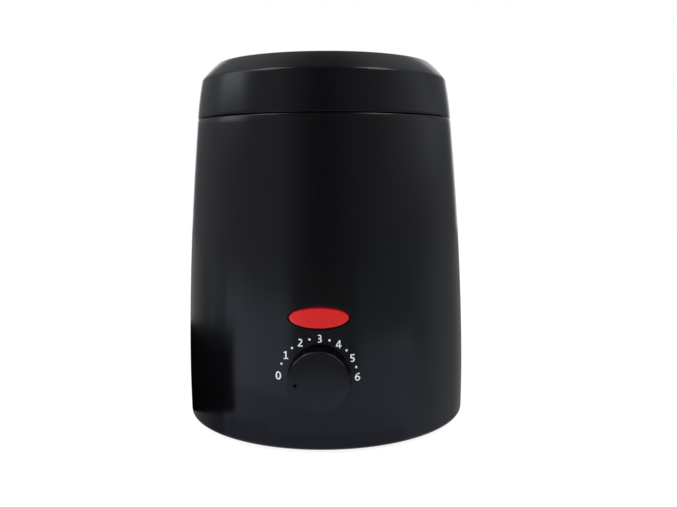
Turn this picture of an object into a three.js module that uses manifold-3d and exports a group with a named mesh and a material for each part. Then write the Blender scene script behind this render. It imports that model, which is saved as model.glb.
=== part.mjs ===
// Wax heater with a lift-out pot, in millimetres, +Z up.
// A tapered plastic housing holds a heated aluminium well. The pot hangs in the well by its rim,
// and a lid covers both. The knob on the front turns a thermostat with a capillary bulb.
// The origin is on the axis of the pot, on the table, and the knob faces -Y.
import * as THREE from "three";
import { mergeVertices } from "three/addons/utils/BufferGeometryUtils.js";
import Module from "manifold-3d";

// Fits
const clearance = 0.3; // between pieces that are assembled together
const runOut = 1; // cutting tools pass through their wall by this much
const blindFloor = 0.75; // left in the wall at the end of a blind screw hole
const weldDistance = 1e-4; // corners closer than this are one corner

// Outer form of the housing
const footStandoff = 1.2; // the feet lift the housing this far off the table
const bellyRadius = 64.4; // widest place of the housing
const bellyRise = 18.8; // from the bottom rim up to the belly
const bottomTuck = 0.25; // how much the side draws in from the belly to the rim
const seamRadius = 57.9; // where the lid meets the housing
const bodyHeight = 135; // from the bottom rim up to the seam
const leanPower = 1.7; // the side leans in with this power of the height above the belly
const wall = 2.5;
const rimRound = 2; // bottom edge
const lipRound = 0.4; // top edge

// Lid
const seamGap = 0.4;
const lidSideHeight = 17.3;
const lidDrawIn = 2.4; // from the seam to the shoulder
const lidBulge = 0.25; // how far the lid's side swells beyond a straight line
const lidChamferHeight = 7.5;
const lidChamferWidth = 7.4;
const lidEdgeRound = 0.3;
const lidShoulderRound = 0.7;
const lidWall = 2.2;
const lidLipWall = 1.8; // locating lip that drops inside the housing

// Deck, trim collar and heated well
const deckDrop = 8; // from the housing's top edge down to its inner deck
const deckThickness = 2.5;
const collarThickness = 3.8;
const collarReveal = 0.5; // how far the collar's hole stands back from the well
const collarLand = 8.4; // ring of the collar that stands on the deck and takes its screws
const collarEdgeRound = 0.6;
const collarScrewCount = 3;
const collarScrewAngle = 90; // of the first screw
const wellWall = 1.5;
const wellFloor = 3;
const wellFlangeThickness = 1.5;
const wellClearance = 0.8; // between the pot and the well

// Pot and its bail
const potRadius = 38.2; // outside, under the rim
const potDepth = 52.4; // from the top of the rim down to the underside
const potDraft = 1; // the pot is this much narrower at its foot
const potWall = 1.2;
const potFootRound = 6;
const potRimWidth = 6.8;
const potRimThickness = 1.5;
const lugLength = 8; // along the rim
const lugThickness = 2.4;
const bailWireRadius = 1.5;
const bailSetIn = 5; // from the outside of the rim in to the middle of the wire
const bailLift = 0.7; // free height between the wire and the rim
const bailEndProud = 1.7; // the wire ends this far outside its lugs
const bailBendRadius = 2.2;

// Control knob, thermostat and dial pocket
const knobHeight = 31.9; // above the table
const knobRadius = 12.7;
const knobFaceRadius = 12.3;
const knobProud = 7.5; // face of the knob beyond the housing
const knobGap = 0.5; // between the knob and the housing
const knobWall = 1.7;
const knobEdgeRound = 0.6;
const knobHubRadius = 4.8;
const knobRibCount = 4;
const knobRibAngle = 45; // of the first rib
const knobRibThickness = 1.2;
const pointerRadius = 0.6; // dimple in the face that points at the dial
const pointerDepth = 0.4;
const pointerDistance = 9.3; // from the middle of the knob
const pointerAngle = 187; // degrees, seen from the front: the knob stands at off
const dialPocketRadius = 10; // flat pocket in the housing, hidden behind the knob
const dialPocketDepth = 3.2;
const dialPadThickness = 3.5;
const dialPadRim = 2; // the pad behind the pocket is this much wider
const shaftRadius = 3;
const shaftFlat = 1.2; // depth of the flat on the shaft
const shaftSeat = 6; // how far the shaft reaches into the thermostat
const bushingRadius = 5;
const washerRadius = 8;
const washerThickness = 0.6;
const nutAcrossFlats = 13;
const nutThickness = 2.4;
const thermostatWidth = 30;
const thermostatDepth = 22;
const thermostatCorner = 3;
const tabWidth = 6.3; // blade terminals
const tabThickness = 0.8;
const tabLength = 8;
const tabSpacing = 14;
const capillaryRadius = 0.8;
const glandRadius = 1.6; // where the capillary leaves the thermostat
const glandHeight = 1;
const bulbRadius = 3;
const bulbLength = 46;
const bulbOffset = 12; // from the middle of the well, towards the front

// Signal lamp
const lensRise = 23.8; // from the axis of the knob up to the lens
const lensHalfWidth = 12.5; // half axes of the oval aperture
const lensHalfHeight = 4.8;
const lensProud = 0.5;
const lensFlange = 1.8;
const lensFlangeThickness = 1.5;
const lampRadius = 2.8;
const lampLength = 11;
const holderDepth = 12;
const holderWall = 1.5;

// Heater band, its clamp and the thermal fuse
const bandHeight = 24;
const bandRise = 6; // from the underside of the well up to the band
const bandThickness = 2;
const bandGapAngle = 8; // degrees each side of +X
const bandTabAngle = 35; // degrees each side of +X
const strapThickness = 0.8;
const strapHeight = 14;
const strapEarLength = 8;
const fuseRadius = 2;
const fuseLength = 11;
const fuseOffset = 12; // from the middle of the well, towards the back
const clipWidth = 9;
const clipThickness = 0.8;
const clipEarLength = 7.5;

// Screws
const screwRadius = 1.2;
const screwHeadRadius = 2.7;
const screwHeadHeight = 1.8;
const screwPilot = 1.5; // radius of the hole that a screw cuts its thread in

// Base plate, feet and posts
const postCount = 4;
const postAngle = 45; // of the first post
const plateThickness = 2.5;
const plateBossHeight = 2.5;
const plateBossRadius = 5;
const plateRibWall = 1.6; // ring that centres the plate in the housing
const plateRibInset = 1.6;
const postCircle = 53; // radius of the circle of posts and screws
const postRadius = 4;
const postHeight = 16;
const postHoleDepth = 11;
const counterboreDepth = 2.6;
const footCount = 4;
const footCircle = 50;
const footRadius = 6;
const footInset = 1; // how deep a foot sits in the plate
const footChamfer = 0.5;
const ventCount = 12;
const ventWidth = 2.6;
const ventInner = 17;
const ventOuter = 33;

// Mains inlet and terminal block
const inletHeight = 17.5; // above the table
const inletWidth = 21; // body, inside the housing
const inletTall = 11.4;
const inletDepth = 15.5;
const inletCorner = 2;
const inletBezel = 3; // how far the bezel overlaps the housing
const inletBezelThickness = 1.7;
const inletPocketDepth = 2;
const inletPadThickness = 2.6;
const pinRadius = 1.2;
const pinSpacing = 8.6;
const pinSetback = 1.4; // tip of the pin below the mouth of the socket
const pinTail = 4; // beyond the back of the inlet
const socketLobeRadius = 4.1;
const socketWaist = 2.9; // half height of the socket between its lobes
const socketDepth = 12.4;
const blockX = 24;
const blockY = 8;
const blockPitch = 7;
const blockPoles = 3;
const blockLength = 16;
const blockHeight = 11;
const blockHumpRadius = 2.6;
const blockHumpHeight = 2.4;
const wireRadius = 1;
const lampLeadRadius = 0.7;
const leadStraight = 6; // a lead leaves its terminal straight for this long
const leadBow = 10; // unit of the sideways bow of a lead

// Facets of a full turn
const shellSides = 44;
const potSides = 32;
const roundSides = 20;
const boreSides = 16;
const smallSides = 8;
const wireSides = 6;

// Facets along a curve
const sideSteps = 7; // up the outside of the housing
const wallSteps = 4; // up its inside, and up the lid
const cornerSteps = 3;
const edgeSteps = 2; // round a small edge
const bendSteps = 4; // round a bend of the bail
const hoopSteps = 18; // round the bail
const leadSteps = 11; // along an internal lead

// Heights and radii that follow from the sizes above
const rimZ = footStandoff;
const bellyZ = rimZ + bellyRise;
const seamZ = rimZ + bodyHeight;
const housingTopZ = seamZ - seamGap / 2;
const lidBottomZ = seamZ + seamGap / 2;
const shoulderZ = seamZ + lidSideHeight;
const lidTopZ = shoulderZ + lidChamferHeight;
const shoulderRadius = seamRadius - lidDrawIn;
const mouthRadius = seamRadius - wall; // inside of the housing above its deck
const deckZ = housingTopZ - deckDrop;
const wellFlangeZ = deckZ + clearance;
const collarTopZ = deckZ + clearance + collarThickness;
const rimBottomZ = collarTopZ + clearance; // underside of the pot's rim
const rimTopZ = rimBottomZ + potRimThickness;
const potBottomZ = rimTopZ - potDepth;
const potRimRadius = potRadius + potRimWidth;
const wellRadius = potRadius + wellClearance; // inside, at the flange
const wellOuterRadius = wellRadius + wellWall;
const wellFloorZ = potBottomZ - wellClearance / 2; // top of the well's floor
const wellBottomZ = wellFloorZ - wellFloor;
const wellFlangeRadius = mouthRadius - collarLand;
const collarHoleRadius = wellOuterRadius + collarReveal;
const deckHoleRadius = wellOuterRadius + 2 * clearance;
const collarScrewCircle = (wellFlangeRadius + mouthRadius) / 2;
const bailZ = rimTopZ + bailLift + bailWireRadius;
const bailRadius = potRimRadius - bailSetIn;
const lugRadius = bailRadius + bailWireRadius + clearance; // inner face of a lug
const bailEndRadius = lugRadius + lugThickness + bailEndProud;
const plateTopZ = rimZ + plateThickness;
const plateBossZ = plateTopZ + plateBossHeight;
const postBottomZ = plateBossZ + clearance;
const plateRadius = sideRadius(rimZ) - wall - clearance;

const wasm = await Module();
wasm.setup();

// The side of the housing at a height: widest at the belly, and leaning in above it with a power
// of the height.
function sideRadius(z) {
  if (z < bellyZ) {
    return bellyRadius - bottomTuck * ((bellyZ - z) / bellyRise) ** 2;
  }
  return bellyRadius - (bellyRadius - seamRadius) * ((z - bellyZ) / (seamZ - bellyZ)) ** leanPower;
}

// The outside of the well at a height: it has the draft of the pot.
function wellSideRadius(z) {
  return wellOuterRadius - (potDraft * (rimTopZ - z)) / potDepth;
}

const radians = THREE.MathUtils.degToRad;
const at = (x, y) => new THREE.Vector2(x, y);

// Points of an arc about a centre, between two angles in degrees.
function arc(x, y, radius, from, to, steps = cornerSteps) {
  return Array.from({ length: steps + 1 }, (_, i) => {
    const angle = radians(from + ((to - from) * i) / steps);
    return at(x + radius * Math.cos(angle), y + radius * Math.sin(angle));
  });
}

// Corners of a regular polygon about the origin.
const polygon = (radius, sides) => arc(0, 0, radius, 0, 360 - 360 / sides, sides - 1);

// A corner of a profile eased by a curve that starts and ends a reach away from it.
function easedCorner(before, corner, after, reach) {
  const start = corner.clone().lerp(before, reach / corner.distanceTo(before));
  const end = corner.clone().lerp(after, reach / corner.distanceTo(after));
  return new THREE.QuadraticBezierCurve(start, corner, end).getPoints(edgeSteps);
}

// The side of the housing between two heights, moved out by an offset.
function sidePoints(fromZ, toZ, offset, steps) {
  return Array.from({ length: steps + 1 }, (_, i) => {
    const z = fromZ + ((toZ - fromZ) * i) / steps;
    return at(sideRadius(z) + offset, z);
  });
}

// A geometry as a solid that can be joined and cut.
function solidOf(geometry) {
  const bare = geometry.clone();
  bare.deleteAttribute("normal");
  bare.deleteAttribute("uv");
  const merged = mergeVertices(bare, weldDistance);
  const corners = merged.index.array;
  const faces = [];
  for (let i = 0; i < corners.length; i += 3) {
    const [a, b, c] = [corners[i], corners[i + 1], corners[i + 2]];
    if (a !== b && b !== c && c !== a) faces.push(a, b, c);
  }
  const vertProperties = merged.attributes.position.array;
  const triVerts = new Uint32Array(faces);
  return new wasm.Manifold(new wasm.Mesh({ numProp: 3, vertProperties, triVerts }));
}

// A profile of radius and height turned about Z. It starts and ends on the axis, or closes on itself.
function revolve(points, sides) {
  const profile = THREE.ShapeUtils.area(points) < 0 ? [...points].reverse() : [...points];
  const onAxis = points.some((point) => point.x === 0);
  if (!onAxis) profile.push(profile[0].clone());
  return new THREE.LatheGeometry(profile, sides).rotateX(Math.PI / 2);
}

// A flat outline with any holes, raised from one height to another.
function raise(outline, fromZ, toZ, curveSegments = smallSides) {
  const settings = { depth: toZ - fromZ, bevelEnabled: false, curveSegments };
  return new THREE.ExtrudeGeometry(outline, settings).translate(0, 0, fromZ);
}

function cylinder(radius, fromZ, toZ, sides = roundSides, topRadius = radius) {
  const length = toZ - fromZ;
  const geometry = new THREE.CylinderGeometry(topRadius, radius, length, sides);
  return geometry.rotateX(Math.PI / 2).translate(0, 0, fromZ + length / 2);
}

function box(width, length, fromZ, toZ) {
  return new THREE.BoxGeometry(width, length, toZ - fromZ).translate(0, 0, (fromZ + toZ) / 2);
}

function ellipse(halfWidth, halfHeight) {
  return new THREE.Shape().absellipse(0, 0, halfWidth, halfHeight, 0, 2 * Math.PI, false, 0);
}

function roundedRectangle(width, height, corner) {
  const x = width / 2 - corner;
  const y = height / 2 - corner;
  return new THREE.Shape([
    ...arc(x, y, corner, 0, 90),
    ...arc(-x, y, corner, 90, 180),
    ...arc(-x, -y, corner, 180, 270),
    ...arc(x, -y, corner, 270, 360),
  ]);
}

// A sector of a ring, open by gapAngle degrees on each side of +X.
function openRing(innerRadius, outerRadius, gapAngle, steps) {
  return new THREE.Shape([
    ...arc(0, 0, outerRadius, gapAngle, 360 - gapAngle, steps),
    ...arc(0, 0, innerRadius, 360 - gapAngle, gapAngle, steps),
  ]);
}

// A round tube along a smooth curve through points.
function tubeThrough(points, radius, steps) {
  const path = new THREE.CatmullRomCurve3(points.map((point) => new THREE.Vector3(...point)));
  const section = new THREE.Shape(polygon(radius, wireSides));
  return new THREE.ExtrudeGeometry(section, { steps, bevelEnabled: false, extrudePath: path });
}

// Turns a piece drawn with +Z outwards to face the front or the back, at a height.
const faceFront = (geometry, z) => geometry.rotateX(Math.PI / 2).translate(0, 0, z);
const faceBack = (geometry, z) => geometry.rotateX(-Math.PI / 2).translate(0, 0, z);

// Copies of a geometry at even angles about Z.
function around(geometry, count, startAngle = 0) {
  return Array.from({ length: count }, (_, i) =>
    geometry.clone().rotateZ(radians(startAngle + (360 * i) / count)),
  );
}

const joined = (solid, ...geometries) => geometries.reduce((sum, g) => sum.add(solidOf(g)), solid);
const cut = (solid, ...geometries) => geometries.reduce((rest, g) => rest.subtract(solidOf(g)), solid);

const finishes = {
  housingPlastic: { color: 0x1c1d20, roughness: 0.45, metalness: 0 },
  darkPlastic: { color: 0x17181a, roughness: 0.6, metalness: 0 },
  blackRubber: { color: 0x141414, roughness: 0.9, metalness: 0 },
  castAluminium: { color: 0xb4b6b9, roughness: 0.4, metalness: 1 },
  brightSteel: { color: 0xc4c6c8, roughness: 0.25, metalness: 1 },
  copper: { color: 0xb87344, roughness: 0.35, metalness: 1 },
  redLens: { color: 0xd02a28, roughness: 0.3, metalness: 0 },
  clearGlass: { color: 0xf2d8c8, roughness: 0.05, metalness: 0 },
  micaWrap: { color: 0xa89a78, roughness: 0.7, metalness: 0 },
  whiteCeramic: { color: 0xe6e2d8, roughness: 0.6, metalness: 0 },
  blueInsulation: { color: 0x2c4f9a, roughness: 0.5, metalness: 0 },
  brownInsulation: { color: 0x6a4024, roughness: 0.5, metalness: 0 },
};

// A solid as a geometry again.
function geometryOf(solid) {
  const { vertProperties, triVerts } = solid.getMesh();
  const geometry = new THREE.BufferGeometry();
  geometry.setAttribute("position", new THREE.BufferAttribute(vertProperties, 3));
  return geometry.setIndex(new THREE.BufferAttribute(triVerts, 1));
}

// A named mesh of a solid, with its own material.
function piece(name, finish, solid) {
  const geometry = geometryOf(solid);
  geometry.computeVertexNormals();
  const material = new THREE.MeshStandardMaterial({ ...finishes[finish], flatShading: true });
  const mesh = new THREE.Mesh(geometry, material);
  mesh.name = name;
  return mesh;
}

// Numbered pieces, all alike, at even angles on a circle.
function ringOf(name, finish, solid, { count, angle, radius, z }) {
  return Array.from({ length: count }, (_, i) => {
    const mesh = piece(`${name}_${i + 1}`, finish, solid);
    const turn = radians(angle + (360 * i) / count);
    mesh.position.set(radius * Math.cos(turn), radius * Math.sin(turn), z);
    return mesh;
  });
}

// A group that holds pieces drawn with +Z outwards and turns them to face the front or the back.
function facing(turn, z, ...meshes) {
  const group = new THREE.Group();
  group.rotation.x = turn;
  group.position.z = z;
  return group.add(...meshes);
}

// A pan head screw that points up, with the top of its head at z = 0.
function screwSolid(length) {
  return joined(
    solidOf(cylinder(screwHeadRadius, -screwHeadHeight, 0, smallSides)),
    cylinder(screwRadius, -screwHeadHeight / 2, length, smallSides),
  );
}

// Distances from the axis of the heater, along the axis of the knob
const dialWall = sideRadius(knobHeight);
const pocketFloor = dialWall - dialPocketDepth;
const thermostatFace = pocketFloor - dialPadThickness - clearance;
const washerBack = pocketFloor + clearance;
const nutBack = washerBack + washerThickness + clearance;
const bushingEnd = nutBack + nutThickness + clearance;
const hubBack = bushingEnd + 2 * clearance;
const knobBack = dialWall + knobGap;
const knobFace = dialWall + knobProud;
const knobInside = knobFace - knobWall;
const boreEnd = knobFace - knobWall / 2;
const shaftStart = thermostatFace - shaftSeat;
const thermostatBack = thermostatFace - thermostatDepth;
const thermostatMiddle = thermostatFace - thermostatDepth / 2;

// Distances from the axis of the heater, along the axis of the mains inlet
const inletFloor = sideRadius(inletHeight) - inletPocketDepth;
const bezelBack = inletFloor + clearance;
const inletFace = bezelBack + inletBezelThickness;
const inletBack = bezelBack - inletDepth;
const bezelWidth = inletWidth + 2 * inletBezel;
const bezelTall = inletTall + 2 * inletBezel;
const bezelCorner = inletCorner + inletBezel;

const lensHeight = knobHeight + lensRise;
const lensWall = sideRadius(lensHeight);
const lensFlangeBack = wall + clearance + lensFlangeThickness; // below the surface of the housing
const holderBack = lensWall - lensFlangeBack - holderDepth;

// Moulded shell with the deck that the well hangs from, the pads behind the dial and the inlet,
// and the posts that the base plate is screwed to.
function housing() {
  const innerBottom = sideRadius(rimZ) - wall;
  const roundCentre = sideRadius(rimZ + rimRound) - rimRound;
  const shell = revolve(
    [
      at(innerBottom, rimZ),
      ...arc(roundCentre, rimZ + rimRound, rimRound, -90, 0),
      ...sidePoints(rimZ + rimRound, housingTopZ - lipRound, 0, sideSteps).slice(1),
      ...arc(seamRadius - lipRound, housingTopZ - lipRound, lipRound, 0, 90, edgeSteps).slice(1),
      at(mouthRadius, housingTopZ),
      at(mouthRadius, deckZ),
      at(deckHoleRadius, deckZ),
      at(deckHoleRadius, deckZ - deckThickness),
      ...sidePoints(deckZ - deckThickness, rimZ, -wall, wallSteps),
    ],
    shellSides,
  );
  const dialPad = cylinder(
    dialPocketRadius + dialPadRim,
    pocketFloor - dialPadThickness,
    dialWall - wall / 2,
  );
  const padWidth = bezelWidth + 2 * wall;
  const inletPad = raise(
    roundedRectangle(padWidth, bezelTall + 2 * wall, inletCorner + wall),
    inletFloor - inletPadThickness,
    Math.sqrt(sideRadius(inletHeight) ** 2 - (padWidth / 2) ** 2) - clearance,
  );
  const post = cylinder(postRadius, postBottomZ, postBottomZ + postHeight, smallSides);
  const webLength = sideRadius(rimZ) - wall / 2 - postCircle;
  const web = box(webLength, wall, postBottomZ, postBottomZ + postHeight).translate(webLength / 2, 0, 0);
  const postWithWeb = geometryOf(joined(solidOf(post), web)).translate(postCircle, 0, 0);
  const screwHole = cylinder(screwPilot, postBottomZ - runOut, postBottomZ + postHoleDepth, smallSides);
  screwHole.translate(postCircle, 0, 0);
  const collarHole = cylinder(
    screwPilot + clearance,
    deckZ - deckThickness - runOut,
    deckZ + runOut,
    smallSides,
  );
  collarHole.translate(collarScrewCircle, 0, 0);

  const outside = bellyRadius + knobProud;
  const bezelShape = roundedRectangle(bezelWidth + 2 * clearance, bezelTall + 2 * clearance, bezelCorner);
  const through = roundedRectangle(inletWidth + 2 * clearance, inletTall + 2 * clearance, inletCorner);
  const inletInside = inletFloor - inletPadThickness - runOut;
  const filled = joined(
    solidOf(shell),
    faceFront(dialPad, knobHeight),
    faceBack(inletPad, inletHeight),
    ...around(postWithWeb, postCount, postAngle),
  );
  return cut(
    filled,
    faceFront(cylinder(dialPocketRadius, pocketFloor, outside), knobHeight),
    faceFront(cylinder(bushingRadius + clearance, thermostatFace, outside), knobHeight),
    faceFront(raise(ellipse(lensHalfWidth, lensHalfHeight), holderBack, outside), lensHeight),
    faceBack(raise(bezelShape, inletFloor, outside), inletHeight),
    faceBack(raise(through, inletInside, outside), inletHeight),
    ...around(screwHole, postCount, postAngle),
    ...around(collarHole, collarScrewCount, collarScrewAngle),
  );
}

// Lid: a turned cap with a leaning side, a chamfered shoulder and a lip that drops into the housing.
function lid() {
  const lipRadius = mouthRadius - clearance;
  const lipEndZ = collarTopZ + seamGap;
  const topRadius = shoulderRadius - lidChamferWidth;
  const sideStart = lidBottomZ + lidEdgeRound;
  const side = Array.from({ length: wallSteps }, (_, i) => {
    const share = i / wallSteps;
    const swell = lidBulge * 4 * share * (1 - share);
    return at(seamRadius - lidDrawIn * share + swell, sideStart + (shoulderZ - sideStart) * share);
  });
  const foot = at(seamRadius, sideStart);
  const shoulder = at(shoulderRadius, shoulderZ);
  const crest = at(topRadius, lidTopZ);
  const middle = at(0, lidTopZ);
  const innerShoulder = Math.min(lipRadius - lidLipWall, shoulderRadius - lidWall);
  return solidOf(
    revolve(
      [
        at(0, lidTopZ - lidWall),
        at(topRadius - lidWall / 2, lidTopZ - lidWall),
        at(innerShoulder, shoulderZ - lidWall / 2),
        at(lipRadius - lidLipWall, lipEndZ),
        at(lipRadius, lipEndZ),
        at(lipRadius, lidBottomZ),
        ...arc(seamRadius - lidEdgeRound, sideStart, lidEdgeRound, -90, 0, edgeSteps),
        ...side.slice(1),
        ...easedCorner(foot, shoulder, crest, lidShoulderRound),
        ...easedCorner(shoulder, crest, middle, lidShoulderRound),
        middle,
      ],
      shellSides,
    ),
  );
}

// Trim collar: covers the flange of the well and is screwed to the deck from below.
function topCollar() {
  const outerRadius = mouthRadius - clearance;
  const overFlange = wellFlangeZ + wellFlangeThickness + clearance;
  const ring = revolve(
    [
      at(wellFlangeRadius + clearance, wellFlangeZ),
      at(outerRadius, wellFlangeZ),
      at(outerRadius, collarTopZ),
      ...arc(
        collarHoleRadius + collarEdgeRound,
        collarTopZ - collarEdgeRound,
        collarEdgeRound,
        90,
        180,
        edgeSteps,
      ),
      at(collarHoleRadius, overFlange),
      at(wellFlangeRadius + clearance, overFlange),
    ],
    shellSides,
  );
  const hole = cylinder(screwPilot, wellFlangeZ - runOut, collarTopZ - blindFloor, smallSides);
  hole.translate(collarScrewCircle, 0, 0);
  return cut(solidOf(ring), ...around(hole, collarScrewCount, collarScrewAngle));
}

function collarScrews() {
  const seat = deckZ - deckThickness - clearance; // top of the screw's head
  return ringOf("collar_screw", "brightSteel", screwSolid(collarTopZ - blindFloor - clearance - seat), {
    count: collarScrewCount,
    angle: collarScrewAngle,
    radius: collarScrewCircle,
    z: seat,
  });
}

// Heated well: a drafted aluminium cup that hangs from the deck by its flange.
function heatingWell() {
  const innerAt = (z) => wellSideRadius(z) - wellWall;
  const flangeTop = wellFlangeZ + wellFlangeThickness;
  const corner = potFootRound + wellClearance;
  const cup = revolve(
    [
      at(0, wellFloorZ),
      ...arc(innerAt(wellFloorZ) - corner, wellFloorZ + corner, corner, -90, 0),
      at(innerAt(flangeTop), flangeTop),
      at(wellFlangeRadius, flangeTop),
      at(wellFlangeRadius, wellFlangeZ),
      at(wellSideRadius(wellFlangeZ), wellFlangeZ),
      at(wellSideRadius(wellBottomZ + wellWall), wellBottomZ + wellWall),
      at(wellSideRadius(wellBottomZ) - wellWall, wellBottomZ),
      at(0, wellBottomZ),
    ],
    potSides,
  );
  const hole = cylinder(screwPilot, wellBottomZ - runOut, wellFloorZ - blindFloor, smallSides);
  return cut(
    solidOf(cup),
    hole.clone().translate(0, fuseOffset + clipScrewDistance(fuseRadius), 0),
    hole.clone().translate(0, -bulbOffset - clipScrewDistance(bulbRadius), 0),
  );
}

// Lift-out pot: a drafted cup with a flat rim and two drilled lugs for the bail.
function pot() {
  const sideAt = (z) => potRadius - (potDraft * (rimTopZ - z)) / potDepth;
  const floorZ = potBottomZ + potWall;
  const innerRound = potFootRound - potWall;
  const edge = potRimThickness / 2;
  const innerFloorRadius = sideAt(floorZ) - potWall - innerRound;
  const outerFloorRadius = sideAt(potBottomZ) - potFootRound;
  const cup = revolve(
    [
      at(0, floorZ),
      ...arc(innerFloorRadius, floorZ + innerRound, innerRound, -90, 0),
      at(sideAt(rimTopZ - edge) - potWall, rimTopZ - edge),
      at(potRadius - potWall + edge, rimTopZ),
      ...arc(potRimRadius - edge, rimTopZ - edge, edge, 90, -90),
      at(sideAt(rimBottomZ), rimBottomZ),
      ...arc(outerFloorRadius, potBottomZ + potFootRound, potFootRound, 0, -90),
      at(0, potBottomZ),
    ],
    potSides,
  );
  const reach = lugLength / 2;
  const lugShape = new THREE.Shape([
    at(-reach, rimTopZ - edge - bailZ),
    ...arc(0, 0, reach, 180, 0, smallSides),
    at(reach, rimTopZ - edge - bailZ),
  ]);
  lugShape.holes.push(new THREE.Path(polygon(bailWireRadius + clearance, 2 * wireSides)));
  const lug = raise(lugShape, lugRadius, lugRadius + lugThickness);
  lug.rotateX(Math.PI / 2).rotateZ(Math.PI / 2).translate(0, 0, bailZ);
  return joined(solidOf(cup), ...around(lug, 2));
}

// Wire bail: a half hoop that lies back on the rim, with its ends bent out through the lugs.
function bail() {
  const bendCentre = bailRadius + bailBendRadius;
  const bend = arc(bendCentre, bailBendRadius, bailBendRadius, 270, 180, bendSteps);
  const right = [at(bailEndRadius, 0), ...bend];
  const startAngle = THREE.MathUtils.radToDeg(Math.asin(bailBendRadius / bailRadius));
  const hoop = arc(0, 0, bailRadius, startAngle, 180 - startAngle, hoopSteps);
  const left = right.map((point) => at(-point.x, point.y)).reverse();
  return solidOf(flatWire([...right.slice(0, -1), ...hoop, ...left.slice(1)], bailWireRadius, bailZ));
}

// A round wire bent in one level plane, with a ring of corners at each point and closed ends.
function flatWire(points, radius, z) {
  const corners = [];
  const faces = [];
  points.forEach((point, i) => {
    const along = points[Math.min(i + 1, points.length - 1)].clone().sub(points[Math.max(i - 1, 0)]);
    const across = at(-along.y, along.x).normalize();
    for (let k = 0; k < wireSides; k += 1) {
      const angle = (2 * Math.PI * k) / wireSides;
      const out = radius * Math.cos(angle);
      corners.push(point.x + across.x * out, point.y + across.y * out, z + radius * Math.sin(angle));
    }
  });
  for (let i = 0; i + 1 < points.length; i += 1) {
    for (let k = 0; k < wireSides; k += 1) {
      const [a, b] = [i * wireSides + k, i * wireSides + ((k + 1) % wireSides)];
      faces.push(a, b, a + wireSides, b, b + wireSides, a + wireSides);
    }
  }
  const last = (points.length - 1) * wireSides;
  for (let k = 1; k + 1 < wireSides; k += 1) {
    faces.push(0, k + 1, k, last, last + k, last + k + 1);
  }
  const geometry = new THREE.BufferGeometry();
  geometry.setAttribute("position", new THREE.Float32BufferAttribute(corners, 3));
  return geometry.setIndex(faces);
}

// Control knob: a plain cap with a hub on ribs, bored for the flatted shaft.
function controlKnob() {
  const edge = knobEdgeRound;
  const insideRadius = knobFaceRadius - knobWall;
  const cap = revolve(
    [
      at(0, knobInside),
      at(insideRadius, knobInside),
      at(insideRadius, knobBack),
      at(knobRadius, knobBack),
      ...arc(knobFaceRadius - edge, knobFace - edge, edge, 0, 90, edgeSteps),
      at(0, knobFace),
    ],
    potSides,
  );
  const ribBack = (hubBack + knobInside) / 2;
  const ribLength = insideRadius + knobWall / 2;
  const rib = box(ribLength, knobRibThickness, ribBack, boreEnd).translate(ribLength / 2, 0, 0);
  const hub = cylinder(knobHubRadius, hubBack, boreEnd, boreSides);
  const dimple = cylinder(pointerRadius, knobFace - pointerDepth, knobFace + runOut, smallSides);
  const angle = radians(pointerAngle);
  dimple.translate(pointerDistance * Math.cos(angle), pointerDistance * Math.sin(angle), 0);
  const boreOutline = flattedCircle(shaftRadius + clearance, shaftRadius - shaftFlat + clearance);
  const bore = raise(boreOutline, hubBack - runOut, boreEnd);
  const ribs = around(rib, knobRibCount, knobRibAngle);
  return cut(joined(solidOf(cap), hub, ...ribs), bore, dimple);
}

// A circle with a flat on its upper side, at a distance from the middle.
function flattedCircle(radius, flatDistance) {
  const flatAngle = THREE.MathUtils.radToDeg(Math.asin(flatDistance / radius));
  return new THREE.Shape(arc(0, 0, radius, 180 - flatAngle, 360 + flatAngle, smallSides));
}

// Thermostat shaft, round in its bushing and flatted where the knob grips it.
function thermostatShaft() {
  const round = cylinder(shaftRadius, shaftStart + clearance, bushingEnd, boreSides);
  const flatted = flattedCircle(shaftRadius, shaftRadius - shaftFlat);
  return joined(solidOf(round), raise(flatted, bushingEnd - runOut, boreEnd - clearance));
}

// Thermostat: a square case with a bushing for the shaft, a gland for the capillary and two blades.
function thermostatBody() {
  const outline = roundedRectangle(thermostatWidth, thermostatWidth, thermostatCorner);
  const bushing = cylinder(bushingRadius, thermostatFace - runOut, bushingEnd, boreSides);
  const bore = cylinder(shaftRadius + clearance, shaftStart, bushingEnd + runOut, boreSides);
  const blade = box(tabThickness, tabWidth, thermostatBack - tabLength, thermostatBack + runOut);
  const gland = cylinder(glandRadius, -runOut, glandHeight, smallSides).rotateX(-Math.PI / 2);
  gland.translate(-thermostatWidth / 2 + thermostatCorner, thermostatWidth / 2, thermostatMiddle);
  const solid = joined(
    solidOf(raise(outline, thermostatBack, thermostatFace)),
    bushing,
    blade.clone().translate(-tabSpacing / 2, 0, 0),
    blade.clone().translate(tabSpacing / 2, 0, 0),
    gland,
  );
  return cut(solid, bore);
}

// A hexagonal nut with a round hole.
function hexNut(cornerRadius, holeRadius, holeSides, fromZ) {
  const hexagon = new THREE.Shape(polygon(cornerRadius, 6));
  hexagon.holes.push(new THREE.Path(polygon(holeRadius, holeSides)));
  return solidOf(raise(hexagon, fromZ, fromZ + nutThickness));
}

function thermostatNut() {
  const corner = nutAcrossFlats / 2 / Math.cos(Math.PI / 6);
  return hexNut(corner, bushingRadius + clearance, boreSides, nutBack);
}

function thermostatWasher() {
  const ring = [
    at(bushingRadius + clearance, washerBack),
    at(washerRadius, washerBack),
    at(washerRadius, washerBack + washerThickness),
    at(bushingRadius + clearance, washerBack + washerThickness),
  ];
  return solidOf(revolve(ring, boreSides));
}

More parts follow.
